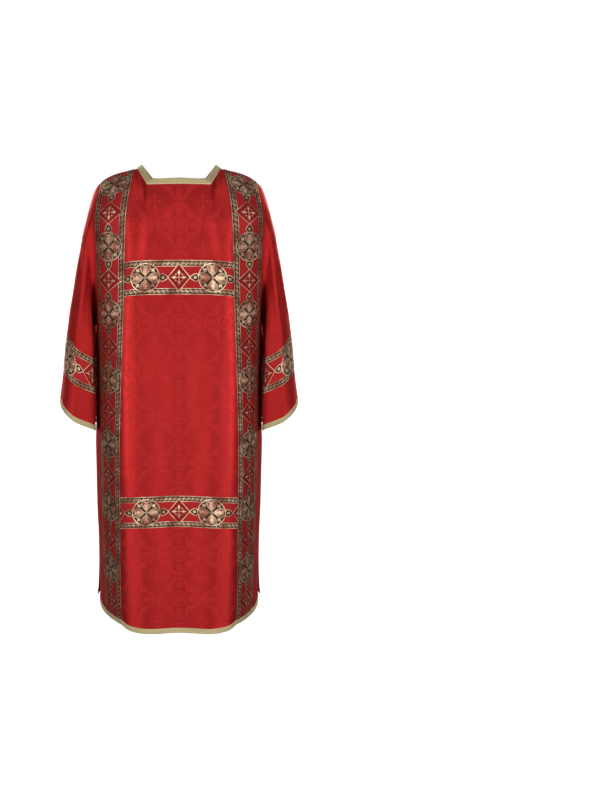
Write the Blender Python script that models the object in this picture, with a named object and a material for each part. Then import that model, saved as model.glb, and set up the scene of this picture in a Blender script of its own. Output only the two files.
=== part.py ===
"""Dalmatic: a wide liturgical tunic with square-cut sleeves, worn and empty.

Each cut or sewn-on piece of cloth is one thin wall.
Frame: metres, +Z up, the front faces -Y, the wearer's left is +X.
The origin is the middle of the neck, level with the points of the shoulders
beside the neck, where the wearer holds the garment up.
"""

import math

import bpy
import numpy as np

# Cloth and seams
CLOTH = 0.0018
BAND_CLOTH = 0.0010
GALLOON_CLOTH = 0.0012
LIFT = 0.0003
SEAM = 0.0004

# Heights of the level lines that the trimmings follow
CHEST = -0.160
UPPER_BAND_TOP = -0.2494
UPPER_BAND_FOOT = -0.3400
UNDERARM = -0.4300
SLIT_TOP = -0.7700
LOWER_BAND_TOP = -0.8838
LOWER_BAND_FOOT = -0.9704
HEM_GALLOON_TOP = -1.2570
HEM = -1.2720

# Mesh fineness: cells between the landmarks, and rows between the level lines
LANDMARKS = ("centre", "corner", "neck", "band_in", "band_out", "side")
CELLS = (4, 3, 1, 4, 4)
YOKE_ROWS = 6
LEVELS = (
    # level line from, level line to, rows
    (CHEST, UPPER_BAND_TOP, 2),
    (UPPER_BAND_TOP, UPPER_BAND_FOOT, 2),
    (UPPER_BAND_FOOT, UNDERARM, 2),
    (UNDERARM, SLIT_TOP, 5),
    (SLIT_TOP, LOWER_BAND_TOP, 2),
    (LOWER_BAND_TOP, LOWER_BAND_FOOT, 2),
    (LOWER_BAND_FOOT, HEM_GALLOON_TOP, 4),
    (HEM_GALLOON_TOP, HEM, 1),
)

# Top edge of each panel under the neck galloon and along the shoulder:
# landmark, position x y z, direction in which the cloth leaves the edge x y z
FRONT_TOP = (
    ("centre", 0.0000, -0.1050, -0.0524, 0.00, -0.42, -0.91),
    ("corner", 0.0845, -0.1000, -0.0541, 0.05, -0.45, -0.89),
    ("neck", 0.1138, 0.0, -0.0096, 0.03, -0.98, -0.20),
    ("band_in", 0.1220, 0.0, -0.0120, 0.02, -0.98, -0.20),
    ("band_out", 0.2105, 0.0, -0.0455, 0.00, -0.96, -0.28),
    ("side", 0.2215, 0.0, -0.0545, 0.00, -0.95, -0.30),
)
BACK_TOP = (
    ("centre", 0.0000, 0.0890, -0.0490, 0.00, 0.50, -0.87),
    ("corner", 0.0860, 0.0760, -0.0490, 0.05, 0.60, -0.80),
    ("neck", 0.1138, 0.0, -0.0096, 0.03, 0.98, -0.20),
    ("band_in", 0.1220, 0.0, -0.0120, 0.00, 0.98, -0.20),
    ("band_out", 0.2105, 0.0, -0.0455, -0.02, 0.96, -0.28),
    ("side", 0.2215, 0.0, -0.0545, 0.00, 0.95, -0.30),
)

# Edge of the neck opening, one galloon width inside the lines above
FRONT_OPENING = (
    # landmark, x, y, z
    ("centre", 0.0000, -0.0985, -0.0360),
    ("corner", 0.0727, -0.0930, -0.0395),
    ("neck", 0.1000, 0.0, 0.0000),
)
BACK_OPENING = (
    ("centre", 0.0000, 0.0780, -0.0350),
    ("corner", 0.0740, 0.0650, -0.0340),
    ("neck", 0.1000, 0.0, 0.0000),
)

# Level sections of each panel, from the centre line round to the side edge:
# height, centre y, then x y of the corner, neck, band_in, band_out and side lines
FRONT_SECTIONS = (
    (-0.160, -0.128, 0.080, -0.131, 0.121, -0.133, 0.1405, -0.131, 0.2225, -0.086, 0.2260, -0.081),
    (-0.250, -0.142, 0.083, -0.145, 0.124, -0.147, 0.1435, -0.1405, 0.2205, -0.087, 0.2235, -0.082),
    (-0.340, -0.143, 0.086, -0.147, 0.126, -0.148, 0.1458, -0.141, 0.2190, -0.085, 0.2260, -0.067),
    (-0.430, -0.145, 0.089, -0.151, 0.129, -0.151, 0.1490, -0.144, 0.2160, -0.082, 0.2300, 0.000),
    (-0.570, -0.152, 0.093, -0.160, 0.1335, -0.158, 0.1545, -0.150, 0.2145, -0.081, 0.2310, 0.005),
    (-0.770, -0.166, 0.098, -0.177, 0.139, -0.172, 0.1605, -0.161, 0.2160, -0.086, 0.2385, 0.012),
    (-0.960, -0.180, 0.103, -0.191, 0.141, -0.184, 0.1605, -0.170, 0.2150, -0.095, 0.2385, 0.020),
    (-1.190, -0.195, 0.106, -0.205, 0.142, -0.193, 0.1605, -0.176, 0.2095, -0.098, 0.2340, 0.030),
    (-1.272, -0.200, 0.107, -0.209, 0.141, -0.196, 0.1590, -0.178, 0.2085, -0.101, 0.2350, 0.035),
)
BACK_SECTIONS = (
    (-0.160, 0.124, 0.078, 0.126, 0.113, 0.125, 0.1310, 0.121, 0.2130, 0.085, 0.2260, 0.077),
    (-0.250, 0.140, 0.079, 0.142, 0.115, 0.141, 0.1330, 0.136, 0.2125, 0.092, 0.2235, 0.079),
    (-0.340, 0.144, 0.081, 0.146, 0.117, 0.144, 0.1350, 0.138, 0.2125, 0.090, 0.2260, 0.065),
    (-0.430, 0.142, 0.083, 0.144, 0.119, 0.142, 0.1370, 0.136, 0.2125, 0.084, 0.2300, 0.000),
    (-0.570, 0.139, 0.085, 0.142, 0.122, 0.140, 0.1400, 0.134, 0.2120, 0.082, 0.2310, 0.005),
    (-0.770, 0.148, 0.088, 0.152, 0.126, 0.150, 0.1440, 0.143, 0.2155, 0.089, 0.2385, 0.012),
    (-0.960, 0.164, 0.090, 0.170, 0.129, 0.166, 0.1470, 0.158, 0.2180, 0.102, 0.2390, 0.033),
    (-1.190, 0.182, 0.092, 0.190, 0.133, 0.184, 0.1510, 0.175, 0.2205, 0.119, 0.2400, 0.048),
    (-1.272, 0.188, 0.094, 0.197, 0.134, 0.191, 0.1525, 0.181, 0.2240, 0.124, 0.2455, 0.053),
)

# How far a level line sinks from the centre to the bands and the side
SINK = (
    # height, sink
    (-0.160, 0.000),
    (-0.250, 0.007),
    (-0.340, 0.007),
    (-0.884, 0.009),
    (-0.970, 0.009),
    (-1.257, -0.014),
    (-1.272, -0.014),
)

# Soft upright folds: x at their top, x at the hem, height they start at,
# half width, rise
FRONT_FOLDS = (
    (0.000, 0.000, -0.90, 0.045, -0.003),
)
BACK_FOLDS = (
    (-0.090, -0.104, -0.50, 0.030, 0.007),
    (-0.030, -0.036, -0.42, 0.028, 0.009),
    (0.032, 0.040, -0.55, 0.028, 0.010),
    (0.092, 0.108, -0.45, 0.030, 0.008),
)

# Sleeve hoops from the armhole to the cuff. Over-arm x z, under-arm x z,
# half depth, how far the under-arm side wraps round the body
SLEEVE_HOOPS = (
    (0.2215, -0.0545, 0.2300, -0.4300, 0.084, 0.000),
    (0.2290, -0.0660, 0.2365, -0.4310, 0.079, 0.000),
    (0.2400, -0.0940, 0.2400, -0.4370, 0.078, 0.003),
    (0.2500, -0.1300, 0.2410, -0.4470, 0.085, 0.007),
    (0.2605, -0.1700, 0.2412, -0.4580, 0.092, 0.011),
    (0.2695, -0.2150, 0.2414, -0.4700, 0.097, 0.014),
    (0.2795, -0.2600, 0.2416, -0.4820, 0.101, 0.016),
    (0.2880, -0.3070, 0.2418, -0.4940, 0.104, 0.018),
    (0.2970, -0.3580, 0.2420, -0.5070, 0.106, 0.019),
    (0.3060, -0.4060, 0.2425, -0.5190, 0.107, 0.020),
    (0.3115, -0.4500, 0.2430, -0.5310, 0.108, 0.020),
    (0.3165, -0.4840, 0.2433, -0.5620, 0.109, 0.020),
    (0.3200, -0.5180, 0.2438, -0.5930, 0.110, 0.020),
    (0.3245, -0.5530, 0.2443, -0.6240, 0.111, 0.020),
    (0.3300, -0.5960, 0.2452, -0.6680, 0.112, 0.020),
    (0.3355, -0.6370, 0.2460, -0.7120, 0.113, 0.020),
    (0.3368, -0.6530, 0.2460, -0.7270, 0.113, 0.020),
)
SLEEVE_BAND_HOOPS = (10, 13)
CUFF_GALLOON_HOOPS = (15, 16)
ARMHOLE_ROWS = YOKE_ROWS + 6
SETTLED_HOOP = 7


def slopes(knots, values):
    """Tangents of a smooth line through the values at the knots."""
    steps = np.diff(knots)[:, None]
    rates = np.diff(values, axis=0) / steps
    inner = (rates[:-1] * steps[1:] + rates[1:] * steps[:-1]) / (steps[1:] + steps[:-1])
    return np.vstack([rates[:1], inner, rates[-1:]])


def smooth_line(knots, values, at):
    """The smooth line through the values at the knots, read at `at`."""
    knots = np.asarray(knots, float)
    values = np.asarray(values, float)
    tangents = slopes(knots, values)
    i = int(np.clip(np.searchsorted(knots, at, side="right") - 1, 0, len(knots) - 2))
    h = knots[i + 1] - knots[i]
    return hermite(values[i], values[i + 1], tangents[i] * h, tangents[i + 1] * h, (at - knots[i]) / h)


def hermite(a, b, leave, arrive, s):
    return (
        (2 * s**3 - 3 * s**2 + 1) * a
        + (s**3 - 2 * s**2 + s) * leave
        + (3 * s**2 - 2 * s**3) * b
        + (s**3 - s**2) * arrive
    )


def section_marks(sections, height):
    """The six landmarks of a level section, as (x, y) rows.

    The side edge is a line of its own in each of its three lengths: the
    armhole, the sewn seam and the open slit.
    """
    rows = np.array(sections)[::-1]
    found = smooth_line(rows[:, 0], rows[:, 1:], height)
    ends = (HEM, SLIT_TOP, UNDERARM, CHEST)
    part = 2 if height >= UNDERARM else 1 if height >= SLIT_TOP else 0
    inside = (rows[:, 0] >= ends[part] - 1e-9) & (rows[:, 0] <= ends[part + 1] + 1e-9)
    found[-2:] = smooth_line(rows[inside, 0], rows[inside, -2:], height)
    return np.vstack([[0.0, found[0]], found[1:].reshape(5, 2)])


def fold_rise(folds, x, height):
    """How far the upright folds move the cloth outwards at one place."""
    total = 0.0
    for x_top, x_hem, start, half_width, rise in folds:
        down = np.clip((height - start) / (HEM - start), 0.0, 1.0)
        away = (x - (x_top + (x_hem - x_top) * down)) / half_width
        total += rise * down ** 0.7 * math.exp(-away * away)
    return total


class Panel:
    """The front or the back, read at a place across (0 centre to 5 side) and a height."""

    def __init__(self, top, opening, sections, other, folds, outward):
        self.top = {row[0]: np.array(row[1:]) for row in top}
        self.opening = {row[0]: np.array(row[1:]) for row in opening}
        self.sections = sections
        self.other = other
        self.folds = folds
        self.outward = outward

    def level(self, place, height):
        """A point of the level part, below the chest line. `place` runs from -5 to 5."""
        across = abs(place)
        reach = min(across / 3.0, 1.0)
        height = height - reach**2 * np.interp(-height, [-row[0] for row in SINK], [row[1] for row in SINK])
        marks = section_marks(self.sections, height)
        beyond = section_marks(self.other, height)[4]
        line = np.vstack([[[-marks[1][0], marks[1][1]]], marks, [beyond]])
        chord = np.linalg.norm(np.diff(line, axis=0), axis=1)
        knots = np.concatenate([[0.0], np.cumsum(chord)]) - chord[0]
        i = min(int(across), 4)
        at = knots[i + 1] + (across - i) * (knots[i + 2] - knots[i + 1])
        x, y = smooth_line(knots, line, at)
        x = math.copysign(x, place) if place else 0.0
        fade = max(0.0, 1.0 - max(0.0, across - 4.0))
        y += self.outward * fade * fold_rise(self.folds, x, height)
        return np.array([x, y, height])

    def edge(self, place):
        """A point of the top edge and the direction in which the cloth leaves it."""
        across = abs(place)
        i = min(int(across), 4)
        rows = np.array([self.top[name] for name in LANDMARKS])
        found = rows[i] + (across - i) * (rows[i + 1] - rows[i])
        if across > 2.0:
            knots = rows[2:, 0]
            at = rows[i][0] + (across - i) * (rows[i + 1][0] - rows[i][0])
            found[:3] = smooth_line(knots, rows[2:, :3], at)
        return found[:3] * mirror(place), found[3:] * mirror(place)

    def yoke(self, place, s):
        """A point of the part over the shoulder: s is 0 at the top edge, 1 at the chest line."""
        start, leave = self.edge(place)
        end = self.level(place, CHEST)
        arrive = self.level(place, CHEST) - self.level(place, CHEST + 0.004)
        span = np.linalg.norm(end - start)
        leave = leave / np.linalg.norm(leave) * span * 1.15
        arrive = arrive / np.linalg.norm(arrive) * span * 1.0
        return hermite(start, end, leave, arrive, s)

    def rim(self, place):
        """A point of the edge of the neck opening, for places up to 2."""
        across = abs(place)
        i = min(int(across), 1)
        rows = [self.opening[name] for name in LANDMARKS[:3]]
        return (rows[i] + (across - i) * (rows[i + 1] - rows[i])) * mirror(place)


def mirror(place):
    return np.array([-1.0 if place < 0 else 1.0, 1.0, 1.0])


FRONT = Panel(FRONT_TOP, FRONT_OPENING, FRONT_SECTIONS, BACK_SECTIONS, FRONT_FOLDS, -1.0)
BACK = Panel(BACK_TOP, BACK_OPENING, BACK_SECTIONS, FRONT_SECTIONS, BACK_FOLDS, 1.0)


def half_places():
    found = [0.0]
    for i, cells in enumerate(CELLS):
        found += [i + (k + 1) / cells for k in range(cells)]
    return found


def places():
    half = half_places()
    return [-u for u in half[:0:-1]] + half


def level_heights():
    found = []
    for start, end, rows in LEVELS:
        found += [start + (end - start) * (k + 1) / rows for k in range(rows)]
    return found


def panel_grid(panel):
    """Rows from the top edge to the hem, columns from the right side to the left."""
    rows = [[panel.yoke(u, k / YOKE_ROWS) for u in places()] for k in range(YOKE_ROWS)]
    rows.append([panel.level(u, CHEST) for u in places()])
    rows += [[panel.level(u, z) for u in places()] for z in level_heights()]
    return np.array(rows)


def row_of(level):
    heights = [round(z, 6) for z in level_heights()]
    return YOKE_ROWS + 1 + heights.index(round(level, 6))


def column_of(place):
    return [round(u, 6) for u in places()].index(round(place, 6))


def rim_grid(panel, grid):
    """The strip between the neck opening and the top edge."""
    inside = [u for u in places() if abs(u) <= 2.0]
    first = column_of(-2.0)
    return np.array([[panel.rim(u) for u in inside], grid[0, first : first + len(inside)]])


class Sheet:
    """Points and four-cornered cells of an open surface."""

    def __init__(self):
        self.points = []
        self.cells = []

    def add(self, grid, flip, closed=False):
        rows, columns = grid.shape[:2]
        index = np.array([[self.find(grid[r, c]) for c in range(columns)] for r in range(rows)])
        for r in range(rows - 1):
            for c in range(columns if closed else columns - 1):
                d = (c + 1) % columns
                cell = [index[r, c], index[r + 1, c], index[r + 1, d], index[r, d]]
                self.cells.append(cell[::-1] if flip else cell)
        return index

    def find(self, point):
        for i, known in enumerate(self.points):
            if abs(known[0] - point[0]) + abs(known[1] - point[1]) + abs(known[2] - point[2]) < 2e-6:
                return i
        self.points.append(np.array(point, float))
        return len(self.points) - 1

    def normals(self):
        points = np.array(self.points)
        found = np.zeros_like(points)
        for a, b, c, d in self.cells:
            face = np.cross(points[c] - points[a], points[d] - points[b])
            for i in (a, b, c, d):
                found[i] += face
        return found / np.linalg.norm(found, axis=1)[:, None]


def grid_cells(rows, columns, flip, closed=False):
    found = []
    for r in range(rows - 1):
        for c in range(columns if closed else columns - 1):
            d = (c + 1) % columns
            cell = [r * columns + c, (r + 1) * columns + c, (r + 1) * columns + d, r * columns + d]
            found.append(cell[::-1] if flip else cell)
    return found


def split_cells(cells, points):
    """Two triangles a cell, parted along the diagonal that stands further out."""
    points = np.asarray(points)
    found = []
    for a, b, c, d in cells:
        way = np.cross(points[c] - points[a], points[d] - points[b])
        if np.dot(points[a] + points[c] - points[b] - points[d], way) > 0:
            found += [(a, b, c), (a, c, d)]
        else:
            found += [(a, b, d), (b, c, d)]
    return found


def make_wall(name, outer, inner, cells, material, base):
    """A closed wall between an outer and an inner copy of the same open surface."""
    count = len(outer)
    skin = split_cells(cells, base)
    faces = skin + [(c + count, b + count, a + count) for a, b, c in skin]
    used = set()
    for cell in cells:
        used |= set(zip(cell, cell[1:] + cell[:1]))
    for a, b in sorted(used):
        if (b, a) not in used:
            faces += [(b, a, a + count), (b, a + count, b + count)]
    mesh = bpy.data.meshes.new(name)
    mesh.from_pydata([tuple(p) for p in outer] + [tuple(p) for p in inner], [], faces)
    mesh.validate()
    mesh.polygons.foreach_set("use_smooth", [True] * len(mesh.polygons))
    mesh.materials.append(material)
    mesh.update()
    obj = bpy.data.objects.new(name, mesh)
    bpy.context.scene.collection.objects.link(obj)
    return obj


def inset(grid, first_row=0.0, last_row=0.0, first_column=0.0, last_column=0.0):
    """Moves the edges of a grid inwards along its own lines."""
    moved = grid.copy()
    for amount, edge, inner in ((first_row, 0, 1), (last_row, -1, -2)):
        if amount:
            way = moved[inner] - moved[edge]
            moved[edge] += way / np.linalg.norm(way, axis=1)[:, None] * amount
    for amount, edge, inner in ((first_column, 0, 1), (last_column, -1, -2)):
        if amount:
            way = moved[:, inner] - moved[:, edge]
            moved[:, edge] += way / np.linalg.norm(way, axis=1)[:, None] * amount
    return moved


def lay_on(name, grid, normals, thickness, flip, material, closed=False):
    """A strip that lies on a panel: the panel's own points, moved out."""
    rows, columns = grid.shape[:2]
    foot = (grid + normals * LIFT).reshape(-1, 3)
    face = (grid + normals * (LIFT + thickness)).reshape(-1, 3)
    cells = grid_cells(rows, columns, flip, closed)
    return make_wall(name, face, foot, cells, material, grid.reshape(-1, 3))


def sleeve_angles(shares, hoop):
    """Where each long line of the sleeve sits on a hoop, from 0 over the arm to pi under it."""
    even = np.linspace(0.0, 1.0, len(shares))
    settled = smooth_step(hoop / SETTLED_HOOP)
    return math.pi * (np.array(shares) * (1 - settled) + even * settled)


def hoop_points(row, angles, outward):
    """Half a hoop, from over the arm to under it."""
    over_x, over_z, under_x, under_z, half_depth, wrap = row
    centre = np.array([(over_x + under_x) / 2, 0.0, (over_z + under_z) / 2])
    arm = np.array([(over_x - under_x) / 2, 0.0, (over_z - under_z) / 2])
    found = []
    for angle in angles:
        along = math.cos(angle)
        out = max(math.sin(angle), 0.0) ** 0.88
        near = smooth_step(-along / 0.8)
        if along < 0:
            along = -(abs(along) ** (1.0 - 0.7 * min(wrap / 0.02, 1.0) * near))
        point = centre + arm * along + np.array([0.0, outward * half_depth * out, 0.0])
        point[0] -= wrap * min(out * half_depth / 0.085, 1.2) ** 2 * near
        found.append(point)
    return np.array(found)


def smooth_step(s):
    s = min(max(s, 0.0), 1.0)
    return s * s * (3 - 2 * s)


def arc_shares(line):
    steps = np.linalg.norm(np.diff(line, axis=0), axis=1)
    return np.concatenate([[0.0], np.cumsum(steps)]) / steps.sum()


def sleeve_grid(front_edge, back_edge):
    """Hoops of the left sleeve. Columns: front over-arm to under-arm, then back up."""
    rows = []
    for hoop, row in enumerate(SLEEVE_HOOPS):
        keep = smooth_step(1.0 - hoop / SETTLED_HOOP)
        halves = []
        for edge, outward in ((front_edge, -1.0), (back_edge, 1.0)):
            shares = arc_shares(edge)
            start = hoop_points(SLEEVE_HOOPS[0], sleeve_angles(shares, 0), outward)
            now = hoop_points(row, sleeve_angles(shares, hoop), outward)
            halves.append(now + (edge - start) * keep)
        rows.append(np.vstack([halves[0], halves[1][-2:0:-1]]))
    return np.array(rows)


def sheet_material(name, colour, roughness, metallic=0.0):
    material = bpy.data.materials.new(name)
    material.use_nodes = True
    shader = material.node_tree.nodes["Principled BSDF"]
    shader.inputs["Base Color"].default_value = (*colour, 1.0)
    shader.inputs["Roughness"].default_value = roughness
    shader.inputs["Metallic"].default_value = metallic
    material.diffuse_color = (*colour, 1.0)
    return material


def flip_x(grid):
    return grid * np.array([-1.0, 1.0, 1.0])


RED = (0.42, 0.018, 0.022)
BAND_RED = (0.20, 0.03, 0.02)
GOLD = (0.52, 0.43, 0.22)


def build_panels(grids, rims):
    """Both panels, with their normals found together so that seams match."""
    joined = Sheet()
    index = {}
    for side, flip in (("front", False), ("back", True)):
        index[side] = joined.add(grids[side], flip)
        index[side + " rim"] = joined.add(rims[side], flip)
    joined_normals = joined.normals()
    normals = {key: joined_normals[found] for key, found in index.items()}
    for side, flip, back_off in (("front", False, -SEAM / 2), ("back", True, SEAM / 2)):
        sheet = Sheet()
        main = sheet.add(grids[side], flip)
        rim = sheet.add(rims[side], flip)
        points = np.array(sheet.points)
        way = np.zeros_like(points)
        way[main.reshape(-1)] = normals[side].reshape(-1, 3)
        way[rim.reshape(-1)] = normals[side + " rim"].reshape(-1, 3)
        seam = set(main[0, : column_of(-2.0) + 1]) | set(main[0, column_of(2.0) :])
        seam |= {rim[0, 0], rim[0, -1]}
        for row in range(1, row_of(SLIT_TOP) + 1):
            if row >= ARMHOLE_ROWS:
                seam |= {main[row, 0], main[row, -1]}
        for i in seam:
            points[i][1] += back_off
        make_wall(
            f"panel_{side}",
            points,
            points - way * CLOTH,
            sheet.cells,
            sheet_material(f"{side}_cloth", RED, 0.7),
            sheet.points,
        )
    return normals


def build_band_strips(grids, normals):
    """The two long bands over the shoulders, and the cross bands between them."""
    foot = row_of(HEM_GALLOON_TOP)
    for side, low, high in (("left", 3.0, 4.0), ("right", -4.0, -3.0)):
        columns = slice(column_of(low), column_of(high) + 1)
        front = grids["front"][: foot + 1, columns][::-1]
        back = grids["back"][1 : foot + 1, columns]
        front_way = normals["front"][: foot + 1, columns][::-1]
        back_way = normals["back"][1 : foot + 1, columns]
        strip = inset(np.vstack([front, back]), first_row=SEAM, last_row=SEAM)
        lay_on(
            f"orphrey_{side}",
            strip,
            np.vstack([front_way, back_way]),
            BAND_CLOTH,
            True,
            sheet_material(f"orphrey_{side}_brocade", BAND_RED, 0.55),
        )
    columns = slice(column_of(-3.0), column_of(3.0) + 1)
    for side in ("front", "back"):
        for name, top, low in (
            ("upper", UPPER_BAND_TOP, UPPER_BAND_FOOT),
            ("lower", LOWER_BAND_TOP, LOWER_BAND_FOOT),
        ):
            rows = slice(row_of(top), row_of(low) + 1)
            strip = inset(grids[side][rows, columns], first_column=SEAM, last_column=SEAM)
            lay_on(
                f"cross_band_{side}_{name}",
                strip,
                normals[side][rows, columns],
                BAND_CLOTH,
                side == "back",
                sheet_material(f"cross_band_{side}_{name}_brocade", BAND_RED, 0.55),
            )


def build_galloons(grids, rims, normals):
    for side, flip, back_off in (("front", False, -SEAM / 2), ("back", True, SEAM / 2)):
        strip = rims[side].copy()
        strip[:, [0, -1], 1] += back_off
        lay_on(
            f"neck_galloon_{side}",
            strip,
            normals[side + " rim"],
            GALLOON_CLOTH,
            flip,
            sheet_material(f"neck_galloon_{side}_braid", GOLD, 0.5, 0.3),
        )
        rows = slice(row_of(HEM_GALLOON_TOP), row_of(HEM) + 1)
        lay_on(
            f"hem_galloon_{side}",
            grids[side][rows],
            normals[side][rows],
            GALLOON_CLOTH,
            flip,
            sheet_material(f"hem_galloon_{side}_braid", GOLD, 0.5, 0.3),
        )


def build_sleeves(grids, normals):
    """Sleeves whose first hoop stands one seam off the armhole edge."""
    rows = ARMHOLE_ROWS + 1
    front_edge = grids["front"][:rows, -1]
    back_edge = grids["back"][:rows, -1]
    tube = sleeve_grid(front_edge, back_edge)
    edge_way = np.vstack([normals["front"][:rows, -1], normals["back"][:rows, -1][-2:0:-1]])
    leave = tube[1] - tube[0]
    leave /= np.linalg.norm(leave, axis=1)[:, None]
    tube[0] += leave * SEAM
    sheet = Sheet()
    sheet.add(tube, True, closed=True)
    way = sheet.normals().reshape(tube.shape)
    hollow = np.sum(leave * edge_way, axis=1) > 0
    way[0] = np.where(hollow[:, None], way[0], edge_way)
    for side, turn in (("left", lambda g: g), ("right", flip_x)):
        flip = side == "left"
        shape = turn(tube)
        out = turn(way)
        make_wall(
            f"sleeve_{side}",
            shape.reshape(-1, 3),
            (shape - out * CLOTH).reshape(-1, 3),
            grid_cells(*tube.shape[:2], flip, closed=True),
            sheet_material(f"sleeve_{side}_cloth", RED, 0.7),
            shape.reshape(-1, 3),
        )
        for name, (first, last), thickness, colour in (
            ("sleeve_band", SLEEVE_BAND_HOOPS, BAND_CLOTH, BAND_RED),
            ("cuff_galloon", CUFF_GALLOON_HOOPS, GALLOON_CLOTH, GOLD),
        ):
            hoops = slice(first, last + 1)
            lay_on(
                f"{name}_{side}",
                shape[hoops],
                out[hoops],
                thickness,
                flip,
                sheet_material(f"{name}_{side}_trim", colour, 0.5),
                closed=True,
            )


def main():
    for obj in list(bpy.data.objects):
        bpy.data.objects.remove(obj, do_unlink=True)
    grids = {"front": panel_grid(FRONT), "back": panel_grid(BACK)}
    rims = {"front": rim_grid(FRONT, grids["front"]), "back": rim_grid(BACK, grids["back"])}
    normals = build_panels(grids, rims)
    build_band_strips(grids, normals)
    build_galloons(grids, rims, normals)
    build_sleeves(grids, normals)


main()
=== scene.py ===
"""Dalmatic: a red damask tunic with brocade bands and gold braid, shown as if worn.

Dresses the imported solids. Each piece is a thin shell on the form of its own solid,
with finer folds. The bands' woven figures are thin shapes laid on them.
Frame: metres, +Z up, the front faces -Y, the wearer's left is +X, and the origin
is the middle of the neck, level with the points of the shoulders.
"""

import math

import bmesh
import bpy
import numpy as np
from mathutils.kdtree import KDTree
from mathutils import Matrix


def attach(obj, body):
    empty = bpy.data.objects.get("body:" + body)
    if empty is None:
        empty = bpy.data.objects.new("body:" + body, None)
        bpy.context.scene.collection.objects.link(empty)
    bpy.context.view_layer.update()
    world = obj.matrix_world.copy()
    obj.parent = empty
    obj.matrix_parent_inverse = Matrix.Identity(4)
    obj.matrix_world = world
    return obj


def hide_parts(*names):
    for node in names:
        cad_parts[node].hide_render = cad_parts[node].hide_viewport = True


bl_info = {
    "name": "Dalmatic Dresser",
    "version": (1, 0, 0),
    "blender": (4, 5, 0),
    "location": "3D View > Sidebar > Dalmatic",
    "description": "Dresses a dalmatic in damask, brocade bands and braid",
    "category": "Object",
}

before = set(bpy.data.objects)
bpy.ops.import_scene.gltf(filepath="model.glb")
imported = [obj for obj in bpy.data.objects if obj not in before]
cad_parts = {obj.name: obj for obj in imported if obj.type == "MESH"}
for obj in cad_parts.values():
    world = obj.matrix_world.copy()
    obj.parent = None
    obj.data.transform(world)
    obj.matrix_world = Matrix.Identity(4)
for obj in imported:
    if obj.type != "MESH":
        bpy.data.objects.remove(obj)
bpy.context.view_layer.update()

# Thickness of the damask and of a band, how high a galloon's cords stand, and the gap
# between a cloth and the one that it lies on
DAMASK_CLOTH = 0.0018
BAND_CLOTH = 0.0010
GALLOON_CLOTH = 0.0012
LIFT = 0.0003

# Heights of the level lines that the trimmings follow
CHEST = -0.160
UPPER_BAND_TOP = -0.2494
UPPER_BAND_FOOT = -0.3400
UNDERARM = -0.4300
SLIT_TOP = -0.7700
LOWER_BAND_TOP = -0.8838
LOWER_BAND_FOOT = -0.9704
HEM_GALLOON_TOP = -1.2570
HEM = -1.2720
LEVEL_LINES = (
    CHEST,
    UPPER_BAND_TOP,
    UPPER_BAND_FOOT,
    UNDERARM,
    SLIT_TOP,
    LOWER_BAND_TOP,
    LOWER_BAND_FOOT,
    HEM_GALLOON_TOP,
    HEM,
)

# A place across a panel is counted in landmarks: 0 centre, 1 corner, 2 neck, 3 band_in,
# 4 band_out, 5 side, and below 0 on the wearer's right
NECK_PLACE = 2.0
BAND_PLACES = (3.0, 4.0)
SIDE_PLACE = 5.0

# Cells between the landmarks, rows over the shoulder, lines across a neck galloon, fewest
# cells down a hem galloon, and the longest step between rows
CELLS = (14, 8, 4, 16, 14)
YOKE_ROWS = 30
RIM_LINES = 9
HEM_CELLS = 8
ROW_STEP = 0.0058

# Over the shoulder: how strongly the cloth springs from the top edge, and the height over
# the chest line at which its direction there is read
YOKE_SPRING = 1.15
YOKE_REACH = 0.004

# Top edge of each panel under the neck galloon and along the shoulder:
# position x y z, direction in which the cloth leaves the edge x y z
FRONT_TOP = (
    (0.0000, -0.1050, -0.0524, 0.00, -0.42, -0.91),
    (0.0845, -0.1000, -0.0541, 0.05, -0.45, -0.89),
    (0.1138, 0.0, -0.0096, 0.03, -0.98, -0.20),
    (0.1220, 0.0, -0.0120, 0.02, -0.98, -0.20),
    (0.2105, 0.0, -0.0455, 0.00, -0.96, -0.28),
    (0.2215, 0.0, -0.0545, 0.00, -0.95, -0.30),
)
BACK_TOP = (
    (0.0000, 0.0890, -0.0490, 0.00, 0.50, -0.87),
    (0.0860, 0.0760, -0.0490, 0.05, 0.60, -0.80),
    (0.1138, 0.0, -0.0096, 0.03, 0.98, -0.20),
    (0.1220, 0.0, -0.0120, 0.00, 0.98, -0.20),
    (0.2105, 0.0, -0.0455, -0.02, 0.96, -0.28),
    (0.2215, 0.0, -0.0545, 0.00, 0.95, -0.30),
)

# Edge of the neck opening, x y z of the centre, corner and neck landmarks
FRONT_OPENING = (
    (0.0000, -0.0985, -0.0360),
    (0.0727, -0.0930, -0.0395),
    (0.1000, 0.0, 0.0000),
)
BACK_OPENING = (
    (0.0000, 0.0780, -0.0350),
    (0.0740, 0.0650, -0.0340),
    (0.1000, 0.0, 0.0000),
)

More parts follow.
